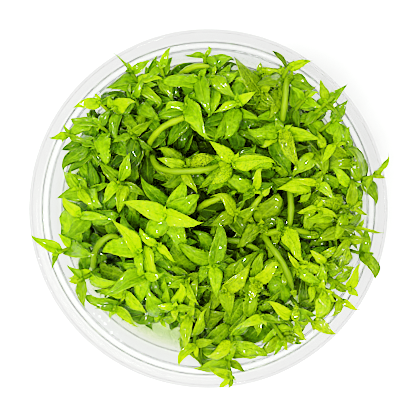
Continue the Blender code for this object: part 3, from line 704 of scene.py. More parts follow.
# The camera, in millimetres of lens and metres of place, and the photograph's strong contrast: dark, bright.
SENSOR_WIDTH, LENS = 36.0, 161.55
CAMERA_PLACE = (-0.000139, 0.000139, (CUP_HEIGHT + VIEW_DISTANCE) * MM)
LIGHT_BOUNCES = 24
SHARPNESS = 0.16
TONE_CURVE = (
    (0.010, 0.016), (0.026, 0.046), (0.047, 0.105), (0.083, 0.22), (0.16, 0.41), (0.27, 0.605), (0.42, 0.78),
    (0.7, 0.875),
)


def smooth_run(start, start_way, end, end_way):
    """Places about a step apart on a smooth line between two places, given the way it runs at both."""
    reach = (end - start).length
    steps = max(2, round(reach / STEM_STEP))
    first, last = start_way * reach, end_way * reach
    places = []
    for i in range(steps):
        t = i / steps
        places.append(
            start * (2 * t**3 - 3 * t * t + 1)
            + first * (t**3 - 2 * t * t + t)
            + end * (3 * t * t - 2 * t**3)
            + last * (t**3 - t * t)
        )
    return places


def framed(places, frame):
    """A path from places, top down: each with its directions across, along and up, turned from a first frame."""
    path = []
    for i, place in enumerate(places):
        upward = (places[max(0, i - 1)] - places[min(len(places) - 1, i + 1)]).normalized()
        frame = turned_to(frame, upward)
        path.append((place, *frame))
    return path


def stem_path(plant):
    """The path of a stem's middle line from its bud down into the gel."""
    stations = [(place, upward) for place, _, _, upward in plant["frames"]]
    foot = sum(plant["rings"][0], Vector()) / 4
    stations.append((foot, UP))
    top, top_way = stations[0]
    places = [top + top_way * rise for rise in (BUD_TOP, BUD_TOP / 2)]
    for (above, above_way), (below, below_way) in zip(stations, stations[1:]):
        places += smooth_run(above, -above_way, below, -below_way)
    places += [foot - UP * STEM_IN_GEL * share for share in (0, 0.5, 1)]
    return framed(places, plant["frames"][0][1:])


def station(path, distance):
    """The step of a stem's path that is nearest a distance below its top pair, or None close to the gel."""
    gone = -BUD_TOP
    for above, below in zip(path, path[1:]):
        gone += (above[0] - below[0]).length
        if gone >= distance:
            return below if below[0].z > GEL_TOP + FILL_LOWEST else None
    return None


def young_leaves(plant, luck):
    """The small steep leaves that close round a shoot's bud."""
    place, across, _, upward = plant["frames"][0]
    leaves = []
    for side in (0, 1):
        turn = YOUNG_TURN + 180 * side + luck.gauss(0, YOUNG_TURN_SPREAD)
        outward = Quaternion(upward, math.radians(turn)) @ across
        length = YOUNG_LENGTH * luck.uniform(*YOUNG_LENGTH_SPREAD)
        plan = (outward, upward, length, YOUNG_PITCH + luck.gauss(0, YOUNG_SPREAD), luck.gauss(0, YOUNG_SPREAD))
        leaf = leaf_shape(place + upward * YOUNG_ABOVE, 0, plan, 0, 0, 1)
        leaf["half_width"] *= YOUNG_WIDENING
        leaf["young"] = True
        leaves.append(leaf)
    return leaves


def fill_leaf(plant, place, plan, pair, plants, taken):
    """A leaf between others, broader and rounder than a shoot's own, or None where there is no room."""
    leaf = clear_leaf(plant, place, 1, plan, pair, plants, taken, FILL_TRIES)
    if leaf:
        leaf["roundness"] = FILL_ROUNDNESS
        leaf["half_width"] *= FILL_WIDENING
    return leaf


def fill(plant, plants, taken, luck):
    """Pairs of leaves between a shoot's own, where there is room for them."""
    made = []
    for distance in FILL_DISTANCES:
        found = station(plant["path"], distance + luck.uniform(-FILL_JITTER, FILL_JITTER))
        if not found:
            continue
        place, across, _, upward = found
        pair = []
        first = luck.uniform(*FILL_FIRST_TURN)
        for side in (0, 1):
            outward = Quaternion(upward, math.radians(first + 180 * side)) @ across
            length = luck.uniform(*FILL_LENGTHS)
            plan = (outward, upward, length, luck.gauss(FILL_PITCH, FILL_SPREAD), luck.gauss(0, FILL_SPREAD))
            leaf = fill_leaf(plant, place, plan, pair, plants, taken)
            if leaf:
                pair.append(leaf)
        made += pair
    return made


def arched_path(stops):
    """A stem's path from its last stop back to its first, which is its foot, and into the gel."""
    ways = [UP] + [(after - before).normalized() for before, after in zip(stops, stops[2:])]
    ways.append((stops[-1] - stops[-2]).normalized())
    places = [stops[0] - UP * STEM_IN_GEL]
    for i in range(len(stops) - 1):
        places += smooth_run(stops[i], ways[i], stops[i + 1], ways[i + 1])
    across = UP.cross(ways[-1]).normalized()
    return framed((places + [stops[-1]])[::-1], (across, ways[-1].cross(across), ways[-1]))


def arched_stem(points, plants, taken, luck):
    """A stem that rises out of the gel and lies across the others where the photograph shows it."""
    way = [plan_place(*point) + UP * (CUP_HEIGHT + point[2]) for point in points]
    tries = []
    for _ in range(ARCH_FOOT_TRIES):
        foot = way[0] * BASE_SHARE
        foot += Vector((luck.uniform(-1, 1), luck.uniform(-1, 1), 0)) * ARCH_FOOT_JITTER
        foot.z = GEL_TOP
        path = arched_path([foot] + way)
        rings = [ring_corners(place, across, along, ARCH_SIDE, ARCH_SIDE) for place, across, along, _ in path]
        space = tube_tree(rings[::2], CLEARANCE)
        crossed = sum(bool(space.overlap(other["space"])) for other in plants)
        crossed += LEAF_CROSSED * sum(bool(space.overlap(tree)) for tree, _ in taken.leaves)
        tries.append((crossed, path, space))
    _, path, space = min(tries, key=lambda one: one[0])
    frames = [station(path, STEM_STEP - BUD_TOP)]
    return {"frames": frames, "space": space, "leaves": [], "path": path, "arched": True}


def side_shoot(angle, out, rise, levels, points, leaf_pixels):
    """A shoot for the growing rules, by where it is out of the photograph's middle, in radians and pixels."""
    x_pixel, y_pixel = PHOTO_CENTRE[0] + out * math.cos(angle), PHOTO_CENTRE[1] + out * math.sin(angle)
    spread = (leaf_pixels * math.cos(points), leaf_pixels * math.sin(points))
    tips = tuple((x_pixel + way * spread[0], y_pixel + way * spread[1], SIDE_LEAF_ROLL) for way in (1, -1))
    return x_pixel, y_pixel, rise, levels, tips


def rim_shoots(plants, luck):
    """More shoots that stand close at the wall and lean on the rim."""
    made = []
    for start, end, nearer, further in RIM_ARCS:
        count = round((end - start) / RIM_SHOOT_EVERY)
        for i in range(count):
            angle = math.radians(start + (end - start) * (i + luck.uniform(*RIM_SHOOT_PLACE)) / count)
            out = luck.uniform(nearer, further)
            points = angle + luck.gauss(math.pi / 2, RIM_LEAF_TURN)
            shoot = side_shoot(angle, out, luck.uniform(*RIM_SHOOT_RISE), 3, points, RIM_LEAF_PX)
            plant = planted(shoot, plants + made, luck)
            plant["path"], plant["side"] = stem_path(plant), True
            made.append(plant)
    return made


def low_shoots(plants, taken, luck):
    """Shorter shoots under the tall ones, where their stems have room."""
    made = []
    for _ in range(LOW_SHOOT_TRIES):
        if len(made) == LOW_SHOOTS:
            break
        angle, out = luck.uniform(0, 2 * math.pi), LOW_SHOOT_RADIUS_PX * math.sqrt(luck.random())
        shoot = side_shoot(angle, out, luck.uniform(*LOW_SHOOT_RISE), 4, luck.uniform(0, math.pi), LOW_LEAF_PX)
        plant = planted(shoot, plants + made, luck)
        near = taken.near(plant["frames"][1][0], LOW_SHOOT_REACH)
        if any(plant["space"].overlap(other) for other in near + [other["space"] for other in plants + made]):
            continue
        plant["path"], plant["side"] = stem_path(plant), True
        made.append(plant)
    return made


def side_leaves(plant, plants, taken, luck):
    """The leaves on a rim or low shoot's own nodes."""
    for level, side in product(range(len(plant["frames"])), (0, 1)):
        plan = leaf_plan(plant, level, side, luck)
        pair = [leaf for leaf in plant["leaves"] if leaf["level"] == level]
        leaf = fill_leaf(plant, plant["frames"][level][0], plan, pair, plants, taken)
        if leaf:
            leaf["level"] = level
            plant["leaves"].append(leaf)


def grow_everything():
    """The tall shoots that stand for the solids, the arched stems, and the rim and low shoots, all in leaf."""
    luck = random.Random(FILL_SEED)
    tall, taken = grow()
    for plant in tall:
        plant["path"] = stem_path(plant)
    arched = []
    for points in ARCHED_STEMS:
        arched.append(arched_stem(points, tall + arched, taken, luck))
    rim = rim_shoots(tall + arched, luck)
    low = low_shoots(tall + arched + rim, taken, luck)
    everyone = tall + arched + rim + low
    for plant in rim + low:
        side_leaves(plant, everyone, taken, luck)
    for plant in everyone:
        plant["fill"] = [] if plant in arched else fill(plant, everyone, taken, luck)
        plant["young"] = young_leaves(plant, luck)
    return tall, arched, rim, low


def half_profile(t, taper):
    """How wide a leaf is along its length, as a share of its widest; a low taper makes a round tip."""
    root, peak = BLADE_ROOT_SHARE, BLADE_WIDEST_AT
    rising = root + (1 - root) * np.sin(np.pi / 2 * np.minimum(1, t / peak))
    falling = np.maximum(0, np.cos(np.pi / 2 * np.clip((t - peak) / (1 - peak), 0, 1))) ** taper
    return np.where(t < peak, rising, falling)


def bent_rib(leaf, t, luck):
    """Places along a leaf's middle, bent as leaves are, and its directions across and out of its face there."""
    base, widest, tip = (np.array(leaf[key]) for key in ("base", "widest", "tip"))
    base = base - (widest - base) * BLADE_ROOT_OVERLAP
    share = LEAF_WIDEST_AT
    control = (widest - (1 - share) ** 2 * base - share**2 * tip) / (2 * share * (1 - share))
    rib = (1 - t) ** 2 * base + 2 * t * (1 - t) * control + t**2 * tip
    ways = 2 * (1 - t) * (control - base) + 2 * t * (tip - control)
    ways /= np.linalg.norm(ways, axis=1)[:, None]
    wide = np.array(leaf["wide"]) - ways * (ways @ np.array(leaf["wide"]))[:, None]
    wide /= np.linalg.norm(wide, axis=1)[:, None]
    face = np.cross(ways, wide)
    length = np.linalg.norm(tip - base)
    rib = rib + face * length * luck.uniform(*ARCHING) * t**3 * (1 - t)
    sideways = luck.gauss(0, SIDE_BEND) * np.sin(np.pi * t) + luck.gauss(0, TIP_BEND) * t**3 * (1 - t)
    rib = rib + wide * length * sideways
    twist = np.radians(luck.gauss(0, TWIST) + luck.gauss(0, TWIST_ALONG) * (t - share))
    wide, face = wide * np.cos(twist) + face * np.sin(twist), face * np.cos(twist) - wide * np.sin(twist)
    return rib, wide, face


def closed_blade(upper, lower, t, s):
    """A blade's points, quads and shares along and across it: its two grids share their edge."""
    rows, columns = len(t) - 1, s.size - 1
    index = np.arange((rows + 1) * (columns + 1)).reshape(rows + 1, columns + 1)
    under = index.copy()
    under[1:-1, 1:-1] = index.size + np.arange((rows - 1) * (columns - 1)).reshape(rows - 1, columns - 1)
    points = np.concatenate([upper.reshape(-1, 3), lower[1:-1, 1:-1].reshape(-1, 3)])
    over = points[:, 2] - CEILING_BEND
    points[:, 2] = CEILING_BEND + np.where(over > 0, CEILING_ROOM * np.tanh(over / CEILING_ROOM), over)
    tops = np.stack([index[:-1, :-1], index[1:, :-1], index[1:, 1:], index[:-1, 1:]], -1).reshape(-1, 4)
    bottoms = np.stack([under[:-1, 1:], under[1:, 1:], under[1:, :-1], under[:-1, :-1]], -1).reshape(-1, 4)
    spread = (np.broadcast_to(share, index.shape) for share in (t, s))
    along, across = (np.concatenate([share.reshape(-1), share[1:-1, 1:-1].reshape(-1)]) for share in spread)
    return points, np.concatenate([tops, bottoms]), along, across


def blade(leaf, rows, columns, luck):
    """A leaf as a closed form: tapered, toothed, folded along its rib, curled and waved at its edges."""
    t = (np.arange(rows + 1) / rows)[:, None]
    s = np.linspace(-1, 1, columns + 1)[None, :]
    rib, wide, face = bent_rib(leaf, t, luck)
    rounded = luck.random() < leaf.get("roundness", ROUNDNESS)
    taper = luck.uniform(*(ROUND_TAPER if rounded else POINTED_TAPER))
    half = leaf["half_width"] * (luck.uniform(*WIDTH_SPREAD) * half_profile(t, taper) + BLADE_EDGE_SHARE)
    teeth = luck.uniform(*TOOTH_DEPTH) * ((t * TEETH + luck.random()) % 1) * (t > TOOTHED_FROM) * (t < TOOTHED_TO)
    half = half * (1 - teeth)
    fold = luck.uniform(*FOLD) * (1 - FOLD_TIP_LOSS * t)
    curl = luck.uniform(*EDGE_CURL)
    waves = luck.uniform(*WAVE_HEIGHT)
    waves = waves * np.sin(2 * np.pi * (t * luck.uniform(*WAVES_ALONG) + luck.random() + WAVE_SLANT * s)) * s**2
    lift = half * (fold * (np.sqrt(s**2 + FOLD_SOFTNESS) - FOLD_DROP) - curl * np.abs(s) ** 3 + waves)
    reach = half * s * (1 - FOLD_NARROWING * fold**2)
    middle = rib[:, None, :] + wide[:, None, :] * reach[:, :, None] + face[:, None, :] * lift[:, :, None]
    thick = BLADE_EDGE_THICKNESS + (BLADE_MIDDLE_THICKNESS - BLADE_EDGE_THICKNESS) * (1 - np.abs(s) ** 1.5)
    thick = thick * (BLADE_TIP_SHARE + (1 - BLADE_TIP_SHARE) * np.sqrt(np.maximum(0, 1 - t))) * np.ones_like(t)
    midrib = MIDRIB_DEPTH * np.exp(-((s / MIDRIB_WIDTH) ** 2)) * (1 - t)
    upper = middle + face[:, None, :] * (thick / 2)[:, :, None]
    lower = middle - face[:, None, :] * (thick / 2 + midrib)[:, :, None]
    return closed_blade(upper, lower, t, s)


def stem_tube(path, thick_after):
    """A stem's points, quads and shares: a slightly angled tube, closed at both ends by rings that draw in."""
    angles = 2 * math.pi * np.arange(STEM_SIDES) / STEM_SIDES
    shape = 1 + STEM_CORNERS * np.cos(4 * angles)
    rows = []
    last = len(path) - 1
    gone = 0
    for i, (place, across, along, _) in enumerate(path):
        gone += (path[i - 1][0] - place).length if i else 0
        radius = STEM_TOP_RADIUS + (STEM_BOTTOM_RADIUS - STEM_TOP_RADIUS) * min(1, gone / thick_after)
        node = min(abs(gone - BUD_TOP - distance) for distance in NODE_DISTANCES)
        radius *= 1 + NODE_SWELL * math.exp(-((node / NODE_REACH) ** 2))
        radius *= STEM_END_SHARE if i in (0, last) else 1
        ring = np.outer(np.cos(angles) * shape, across) + np.outer(np.sin(angles) * shape, along)
        rows.append(np.array(place) + ring * radius)
    points = np.concatenate(rows)
    index = np.arange(len(points)).reshape(-1, STEM_SIDES)
    after = np.roll(index, -1, axis=1)
    sides = np.stack([index[:-1], index[1:], after[1:], after[:-1]], -1).reshape(-1, 4)
    caps = []
    for ring in (index[0][::-1], index[-1]):
        caps += [[ring[0], ring[j], ring[j + 1], ring[j + 2]] for j in range(1, STEM_SIDES - 2, 2)]
    caps = np.array(caps)[:, ::-1]
    along = np.repeat(np.linspace(0, 1, len(path)), STEM_SIDES)
    return points, np.concatenate([sides, caps]), along, np.tile(np.cos(angles), len(path))


def nearness(place, x, y, reach):
    """How near a place is, in plan, to another: 1 there, and fading over a reach."""
    return math.exp(-((place.x - x) ** 2 + (place.y - y) ** 2) / reach**2)


def leaf_tone(leaf, luck):
    """How bright and yellow a leaf is, from 0 to 1: more so when young, and, as painted light, high up and near the
    cup's middle.
    """
    place = leaf["widest"]
    out = Vector((place.x - MIDDLE_OF_LIGHT[0], place.y - MIDDLE_OF_LIGHT[1])).length / CUP_RADIUS
    # Painted light and shade: brighter high up and in the middle of the light, darker low down and out from it.
    tone = TONE + PAINTED_SHADE_PER_MM * (place.z - CUP_HEIGHT) + PAINTED_SHADE_OUTWARD * max(0, out - TONE_FLAT_WITHIN)
    tone += luck.gauss(0, TONE_SPREAD)
    for x, y, reach, change in TONE_PATCHES:
        tone += change * nearness(place, x, y, reach)
    return max(0.02, min(0.98, tone + (TONE_YOUNG if leaf.get("young") else 0)))


def bead_seats(points, rows, columns, luck):
    """Places close together on a blade's upper side for beads of water, with the way out of the blade there."""
    seats = []
    middle = luck.randint(rows // 4, rows // 2)
    for _ in range(luck.randint(*BEADS_TOGETHER)):
        row, column = middle + luck.randint(0, rows // 5), luck.randint(1, columns - 1)
        here = row * (columns + 1) + column
        out = np.cross(points[here + columns + 1] - points[here], points[here + 1] - points[here])
        seats.append((Vector(points[here]), Vector(out).normalized()))
    return seats


def joined(name, plants, luck, seats):
    """One mesh of the stems and all the leaves of some plants; places for beads of water go to seats."""
    points, quads, kinds = [], [], []
    carried_shares = {"tone": [], "olive": [], "spotted": [], "along": [], "across": []}
    count = 0

    def take(made, kind, **shares):
        nonlocal count
        places, faces, shares["along"], shares["across"] = made
        points.append(places)
        quads.append(faces + count)
        kinds.append(np.full(len(faces), kind))
        for key, values in shares.items():
            carried_shares[key].append(np.broadcast_to(values, len(places)))
        count += len(places)

    for plant in plants:
        worn = nearness(plant["frames"][0][0], *OLD_MIDDLE, OLD_REACH)
        aged = luck.random() ** 2 + OLD_SHARE * worn
        tube = stem_tube(plant["path"], ARCH_THICK_AFTER if "arched" in plant else STEM_THICK_AFTER)
        take(tube, 1, tone=STEM_TONE + luck.gauss(0, STEM_TONE_SPREAD), olive=aged, spotted=0)
        for key in ("leaves", "fill", "young"):
            grid = SIDE_GRID if "side" in plant and key == "leaves" else GRIDS[key]
            for leaf in plant[key]:
                yellowing = (leaf["widest"].x + YELLOWING_SLANT * leaf["widest"].y) * YELLOWING
                olive = max(0, min(1, aged + yellowing + luck.gauss(0, OLIVE_SPREAD)))
                made = blade(leaf, *grid, luck)
                spotted = (SPOTTED + olive + worn) * luck.random() ** 1.5
                take(made, 0, tone=leaf_tone(leaf, luck) + TONE_WORN * worn, olive=olive, spotted=spotted)
                if key != "young" and luck.random() < BEADED:
                    seats += bead_seats(made[0], *grid, luck)
    mesh = bpy.data.meshes.new(name)
    mesh.from_pydata(np.concatenate(points) * MM, [], np.concatenate(quads).tolist())
    for key, values in carried_shares.items():
        mesh.attributes.new(key, "FLOAT", "POINT").data.foreach_set("value", np.concatenate(values).astype(np.float32))
    mesh.polygons.foreach_set("material_index", np.concatenate(kinds).astype(np.int32))
    mesh.polygons.foreach_set("use_smooth", np.ones(len(mesh.polygons), bool))
    mesh.update()
    return mesh


def leaf_beads(seats, luck):
    """The beads of water that sit on leaves: place, way out, radius and height."""
    sizes = [luck.uniform(*BEAD_RADIUS) for _ in seats]
    return [(place, out, size, size * BEAD_HEIGHT_SHARE) for (place, out), size in zip(seats, sizes)]


def wall_drops():
    """The drops that have run together on the cup's upper wall, at the photograph's lower left."""
    drops = []
    radii, heights = zip(*cup_profile()[:9])
    for x_pixel, y_pixel, size in WALL_DROPS:
        place = plan_place(x_pixel, y_pixel, -1.0)
        height = np.interp(math.hypot(place.x, place.y), radii, heights)
        inward = Vector((-place.x, -place.y, 0)).normalized()
        out = (UP + inward * WALL_DROP_LEAN).normalized()
        drops.append((Vector((place.x, place.y, height)), out, size, size * WALL_DROP_HEIGHT_SHARE))
    return drops


def drops_mesh(name, drops):
    """One mesh of flattened round drops, each a closed form half sunk in what it sits on."""
    ball = bmesh.new()
    bmesh.ops.create_uvsphere(ball, u_segments=12, v_segments=8, radius=MM)
    ball.verts.index_update()
    corners = np.array([corner.co for corner in ball.verts])
    sides = [[corner.index for corner in side.verts] for side in ball.faces]
    ball.free()
    points, faces = [], []
    for number, (place, out, radius, height) in enumerate(drops):
        turn = np.array(out.to_track_quat("Z", "Y").to_matrix())
        points.append(corners * (radius, radius, height) @ turn.T + np.array(place) * MM)
        faces += [[corner + number * len(corners) for corner in side] for side in sides]
    made = bpy.data.meshes.new(name)
    made.from_pydata(np.concatenate(points), [], faces)
    made.polygons.foreach_set("use_smooth", np.ones(len(made.polygons), bool))
    return made


def shown(name, mesh, *materials):
    """Puts a mesh into the scene under its name, with its materials."""
    made = bpy.data.objects.new(name, mesh)
    bpy.context.scene.collection.objects.link(made)
    for material in materials:
        mesh.materials.append(material)
    return made


def feed(tree, socket, value):
    """Links a socket to another node's output, or gives it a plain value."""
    if isinstance(value, bpy.types.NodeSocket):
        tree.links.new(value, socket)
    else:
        socket.default_value = value


def add(tree, kind, **settings):
    """A new node; settings name its sockets, with spaces as underscores, or its own properties."""
    made = tree.nodes.new("ShaderNode" + kind)
    for name, value in settings.items():
        socket = made.inputs.get(name.replace("_", " "))
        if socket is not None and name[0].isupper():
            feed(tree, socket, value)
        else:
            setattr(made, name, value)
    return made


def group(name, inputs, outputs):
    """An empty node group with float inputs (name, value) and float outputs, and its input and output nodes."""
    tree = bpy.data.node_groups.new(name, "ShaderNodeTree")
    for label, value in inputs:
        socket = tree.interface.new_socket(name=label, in_out="INPUT", socket_type="NodeSocketFloat")
        socket.default_value = value
    for label in outputs:
        tree.interface.new_socket(name=label, in_out="OUTPUT", socket_type="NodeSocketFloat")
    return tree, tree.nodes.new("NodeGroupInput").outputs, tree.nodes.new("NodeGroupOutput").inputs


def sums(tree, operation, *values):
    """A Math node's result."""
    made = add(tree, "Math", operation=operation)
    for socket, value in zip(made.inputs, values):
        feed(tree, socket, value)
    return made.outputs[0]


def scaled(tree, value, by, plus):
    """A value times one number, plus another."""
    return sums(tree, "MULTIPLY_ADD", value, by, plus)


def mixed(tree, factor, first, second, kind="MIX"):
    """Two colours mixed."""
    made = add(tree, "Mix", data_type="RGBA", blend_type=kind)
    for number, value in ((0, factor), (6, first), (7, second)):
        feed(tree, made.inputs[number], value)
    return made.outputs[2]


def blended(tree, factor, first, second):
    """Two shaders mixed."""
    made = add(tree, "MixShader")
    for socket, value in zip(made.inputs, (factor, first.outputs[0], second.outputs[0])):
        feed(tree, socket, value)
    return made.outputs[0]


def ramp(tree, factor, stops):
    """A colour ramp over a factor: (place, colour) stops."""
    made = add(tree, "ValToRGB")
    elements = made.color_ramp.elements
    while len(elements) < len(stops):
        elements.new(1)
    for element, (place, colour) in zip(elements, stops):
        element.position = place
        element.color = (*colour, 1)
    tree.links.new(factor, made.inputs[0])
    return made.outputs[0]


def in_place(tree):
    """Where a point is on its piece, in metres."""
    return add(tree, "TexCoord").outputs["Object"]


def carried(tree, name):
    """A value that the mesh carries at its points."""
    return add(tree, "Attribute", attribute_name=name).outputs["Fac"]


def tissue_mottle():
    """Blotches, puckers and fine speckles in living tissue."""
    scales = (("Blotch Scale", 300), ("Pucker Scale", 900), ("Speckle Scale", 2200))
    tree, given, result = group("tissue_mottle", scales, ("Blotches", "Puckers", "Speckles"))
    place = in_place(tree)
    for mark, scale, detail, roughness, strength, lowered in (
        ("Blotches", "Blotch Scale", 3.0, 0.6, 2.0, -0.5),
        ("Puckers", "Pucker Scale", 1.0, 0.5, 2.0, -0.5),
        ("Speckles", "Speckle Scale", 2.0, 0.7, 4.0, -1.5),
    ):
        noise = add(tree, "TexNoise", Vector=place, Scale=given[scale], Detail=detail, Roughness=roughness)
        feed(tree, result[mark], scaled(tree, noise.outputs["Fac"], strength, lowered))
    return tree


def blade_veins():
    """The leaf's midrib, its side veins and its margin, from the shares across and along."""
    tree, given, result = group("blade_veins", (("Across", 0), ("Along", 0)), ("Veins", "Midrib", "Margin"))
    across = sums(tree, "ABSOLUTE", given["Across"])
    fan = scaled(tree, given["Along"], -3.0, sums(tree, "MULTIPLY", across, 17.0))
    lines = sums(tree, "POWER", scaled(tree, sums(tree, "COSINE", fan), 0.5, 0.5), 3.0)
    feed(tree, result["Veins"], lines)
    rib = sums(tree, "SUBTRACT", 1.0, sums(tree, "MULTIPLY", across, 9.0))
    feed(tree, result["Midrib"], sums(tree, "MAXIMUM", rib, 0.0))
    feed(tree, result["Margin"], sums(tree, "MAXIMUM", scaled(tree, across, 7.0, -6.0), 0.0))
    return tree


def new_material(name):
    """A material with nothing but its output."""
    material = bpy.data.materials.new(name)
    material.use_nodes = True
    tree = material.node_tree
    tree.nodes.clear()
    return material, tree, tree.nodes.new("ShaderNodeOutputMaterial").inputs[0]


def leaf_blade(mottle, veins):
    """Thin wet leaf: green to yellow-green by tone, with veins, speckles, a paler rib and a painted highlight along
    its margin.
    """
    material, tree, surface = new_material("leaf_blade")
    lines = add(tree, "Group", node_tree=veins, Across=carried(tree, "across"), Along=carried(tree, "along"))
    spots = add(tree, "Group", node_tree=mottle, Blotch_Scale=260, Pucker_Scale=820, Speckle_Scale=2300)
    marks = {**dict(lines.outputs.items()), **dict(spots.outputs.items())}
    tone = carried(tree, "tone")
    for mark, strength in TONE_MARKS.items():
        tone = scaled(tree, marks[mark], strength, tone)
    colour = ramp(tree, sums(tree, "ADD", tone, TONE_LOWERED), LEAF_GREENS)
    colour = mixed(tree, carried(tree, "olive"), colour, OLIVE_TINT, "MULTIPLY")
    dark = sums(tree, "MULTIPLY", sums(tree, "MAXIMUM", marks["Speckles"], 0.0), SPECKLE_DEPTH)
    spotted = scaled(tree, carried(tree, "spotted"), 0.62, 0.16)
    colour = mixed(tree, sums(tree, "MULTIPLY", dark, spotted), colour, SPECKLE_GREEN)
    # A paler midrib, and a painted edge highlight along the margin.
    pale = scaled(tree, marks["Margin"], 0.7, sums(tree, "MULTIPLY", marks["Midrib"], 0.25))
    colour = mixed(tree, pale, colour, RIB_AND_EDGE_HIGHLIGHT_GREEN)
    height = marks["Blotches"]
    for mark, strength in SKIN_MARKS.items():
        height = scaled(tree, marks[mark], strength, height)
    bump = add(tree, "Bump", Strength=0.8, Distance=0.00034, Height=height)
    rough = scaled(tree, marks["Blotches"], 0.16, 0.22)
    wet = scaled(tree, marks["Blotches"], 4.0, -1.6)
    wet = sums(tree, "MINIMUM", sums(tree, "MAXIMUM", wet, 0.0), 1.0)
    skin = add(tree, "BsdfPrincipled", Base_Color=colour, Roughness=rough, Specular_IOR_Level=0.05,
               Coat_Weight=wet, Coat_Roughness=0.05, Normal=bump.outputs[0])
    through = add(tree, "BsdfTranslucent", Color=mixed(tree, 1.0, colour, THROUGH_TINT, "MULTIPLY"))
    feed(tree, surface, blended(tree, LIGHT_THROUGH, skin, through))
    return material


def stem_skin(mottle):
    """Pale green juicy stem, a little streaked."""
    material, tree, surface = new_material("stem_skin")
    spots = add(tree, "Group", node_tree=mottle, Blotch_Scale=220, Pucker_Scale=700, Speckle_Scale=1500)
    blotches = spots.outputs["Blotches"]
    tone = sums(tree, "ADD", scaled(tree, blotches, 0.3, carried(tree, "tone")), -0.15)
    bump = add(tree, "Bump", Strength=0.4, Distance=0.0002, Height=blotches)
    skin = add(tree, "BsdfPrincipled", Base_Color=ramp(tree, tone, STEM_GREENS), Roughness=0.42,
               Specular_IOR_Level=0.12, Subsurface_Weight=0.12, Subsurface_Radius=(0.6, 1.0, 0.1),
               Subsurface_Scale=0.0006, Normal=bump.outputs[0])
    feed(tree, surface, skin.outputs[0])
    return material


def see_through(tree, surface, shader, shade):
    """Lets lamps shine through a clear shader, tinted."""
    shadow = add(tree, "LightPath").outputs["Is Shadow Ray"]
    feed(tree, surface, blended(tree, shadow, shader, add(tree, "BsdfTransparent", Color=shade)))


def clear_plastic():
    """Thin moulded clear plastic, tinted by place with a painted reflection and painted light, with faint drawn rings
    in its gloss.
    """
    material, tree, surface = new_material("clear_plastic_moulded")
    place = in_place(tree)
    flat = add(tree, "VectorMath", operation="MULTIPLY")
    feed(tree, flat.inputs[0], place)
    feed(tree, flat.inputs[1], (1, 1, 0))
    out = add(tree, "VectorMath", operation="LENGTH", Vector=flat.outputs[0]).outputs["Value"]
    rings = add(tree, "TexNoise", noise_dimensions="1D", Scale=900.0, Detail=2.0, Roughness=0.6, W=out)
    cloud = add(tree, "TexNoise", Vector=place, Scale=45.0, Detail=3.0).outputs["Fac"]
    height = scaled(tree, cloud, 1.5, rings.outputs["Fac"])
    bump = add(tree, "Bump", Strength=0.04, Distance=0.00012, Height=height)
    # The rim's tints, with a step painted paler as painted light over its dark line.
    over = ramp(tree, sums(tree, "MULTIPLY", out, 1 / (CUP_RADIUS * MM)), RIM_TINTS_AND_PAINTED_LIGHT)
    level = add(tree, "SeparateXYZ", Vector=place).outputs["Z"]
    level = sums(tree, "MULTIPLY", level, 1 / (CUP_HEIGHT * MM))
    # The wall's green is a painted reflection of the leaves, by height.
    colour = mixed(tree, ramp(tree, level, PAINTED_REFLECTION_REACHES), over, ramp(tree, level, WALL_PAINTED_REFLECTIONS))
    plastic = add(tree, "BsdfPrincipled", Base_Color=colour, Roughness=scaled(tree, cloud, 0.06, 0.0), IOR=1.33,
                  Transmission_Weight=0.945, Alpha=0.88, Normal=bump.outputs[0])
    see_through(tree, surface, plastic, PLASTIC_SHADE)
    return material


def gel_jelly():
    """Pale, slightly cloudy nutrient gel."""
    material, tree, surface = new_material("gel_jelly")
    cloud = add(tree, "TexNoise", Vector=in_place(tree), Scale=60.0, Detail=4.0).outputs["Fac"]
    bump = add(tree, "Bump", Strength=0.3, Distance=0.0004, Height=cloud)
    jelly = add(tree, "BsdfPrincipled", Base_Color=ramp(tree, cloud, GEL_GREENS), IOR=1.34,
                Roughness=scaled(tree, cloud, 0.2, 0.35), Transmission_Weight=0.6, Normal=bump.outputs[0])
    see_through(tree, surface, jelly, GEL_SHADE)
    return material


def water():
    """Water drops, a little softened, so that they glint less, and partly diffuse white as a painted glint."""
    material, tree, surface = new_material("water_drop")
    ripple = add(tree, "TexNoise", Vector=in_place(tree), Scale=900.0).outputs["Fac"]
    bump = add(tree, "Bump", Strength=0.08, Distance=0.0001, Height=ripple)
    # The share that isn't clear is diffuse white: a painted glint.
    drop = add(tree, "BsdfPrincipled", Base_Color=WATER_CLEAR_AND_PAINTED_GLINT, Roughness=0.16, IOR=1.33,
               Transmission_Weight=0.65, Normal=bump.outputs[0])
    see_through(tree, surface, drop, WATER_SHADE)
    return material


def turned_form(name, profile, corner, steps, *materials):
    """A section turned about Z, with its corners rounded."""
    mesh = bpy.data.meshes.new(name)
    mesh.from_pydata([(r * MM, 0, z * MM) for r, z in profile], [(i, i + 1) for i in range(len(profile) - 1)], [])
    made = shown(name, mesh, *materials)
    rounding = made.modifiers.new("Rounding", "BEVEL")
    rounding.affect, rounding.width, rounding.segments = "VERTICES", corner * MM, 3
    rounding.use_clamp_overlap = True
    screw = made.modifiers.new("Turn", "SCREW")
    screw.steps = screw.render_steps = steps
    screw.use_merge_vertices = True
    screw.merge_threshold = 0.00001
    screw.use_smooth_shade = True
    return made


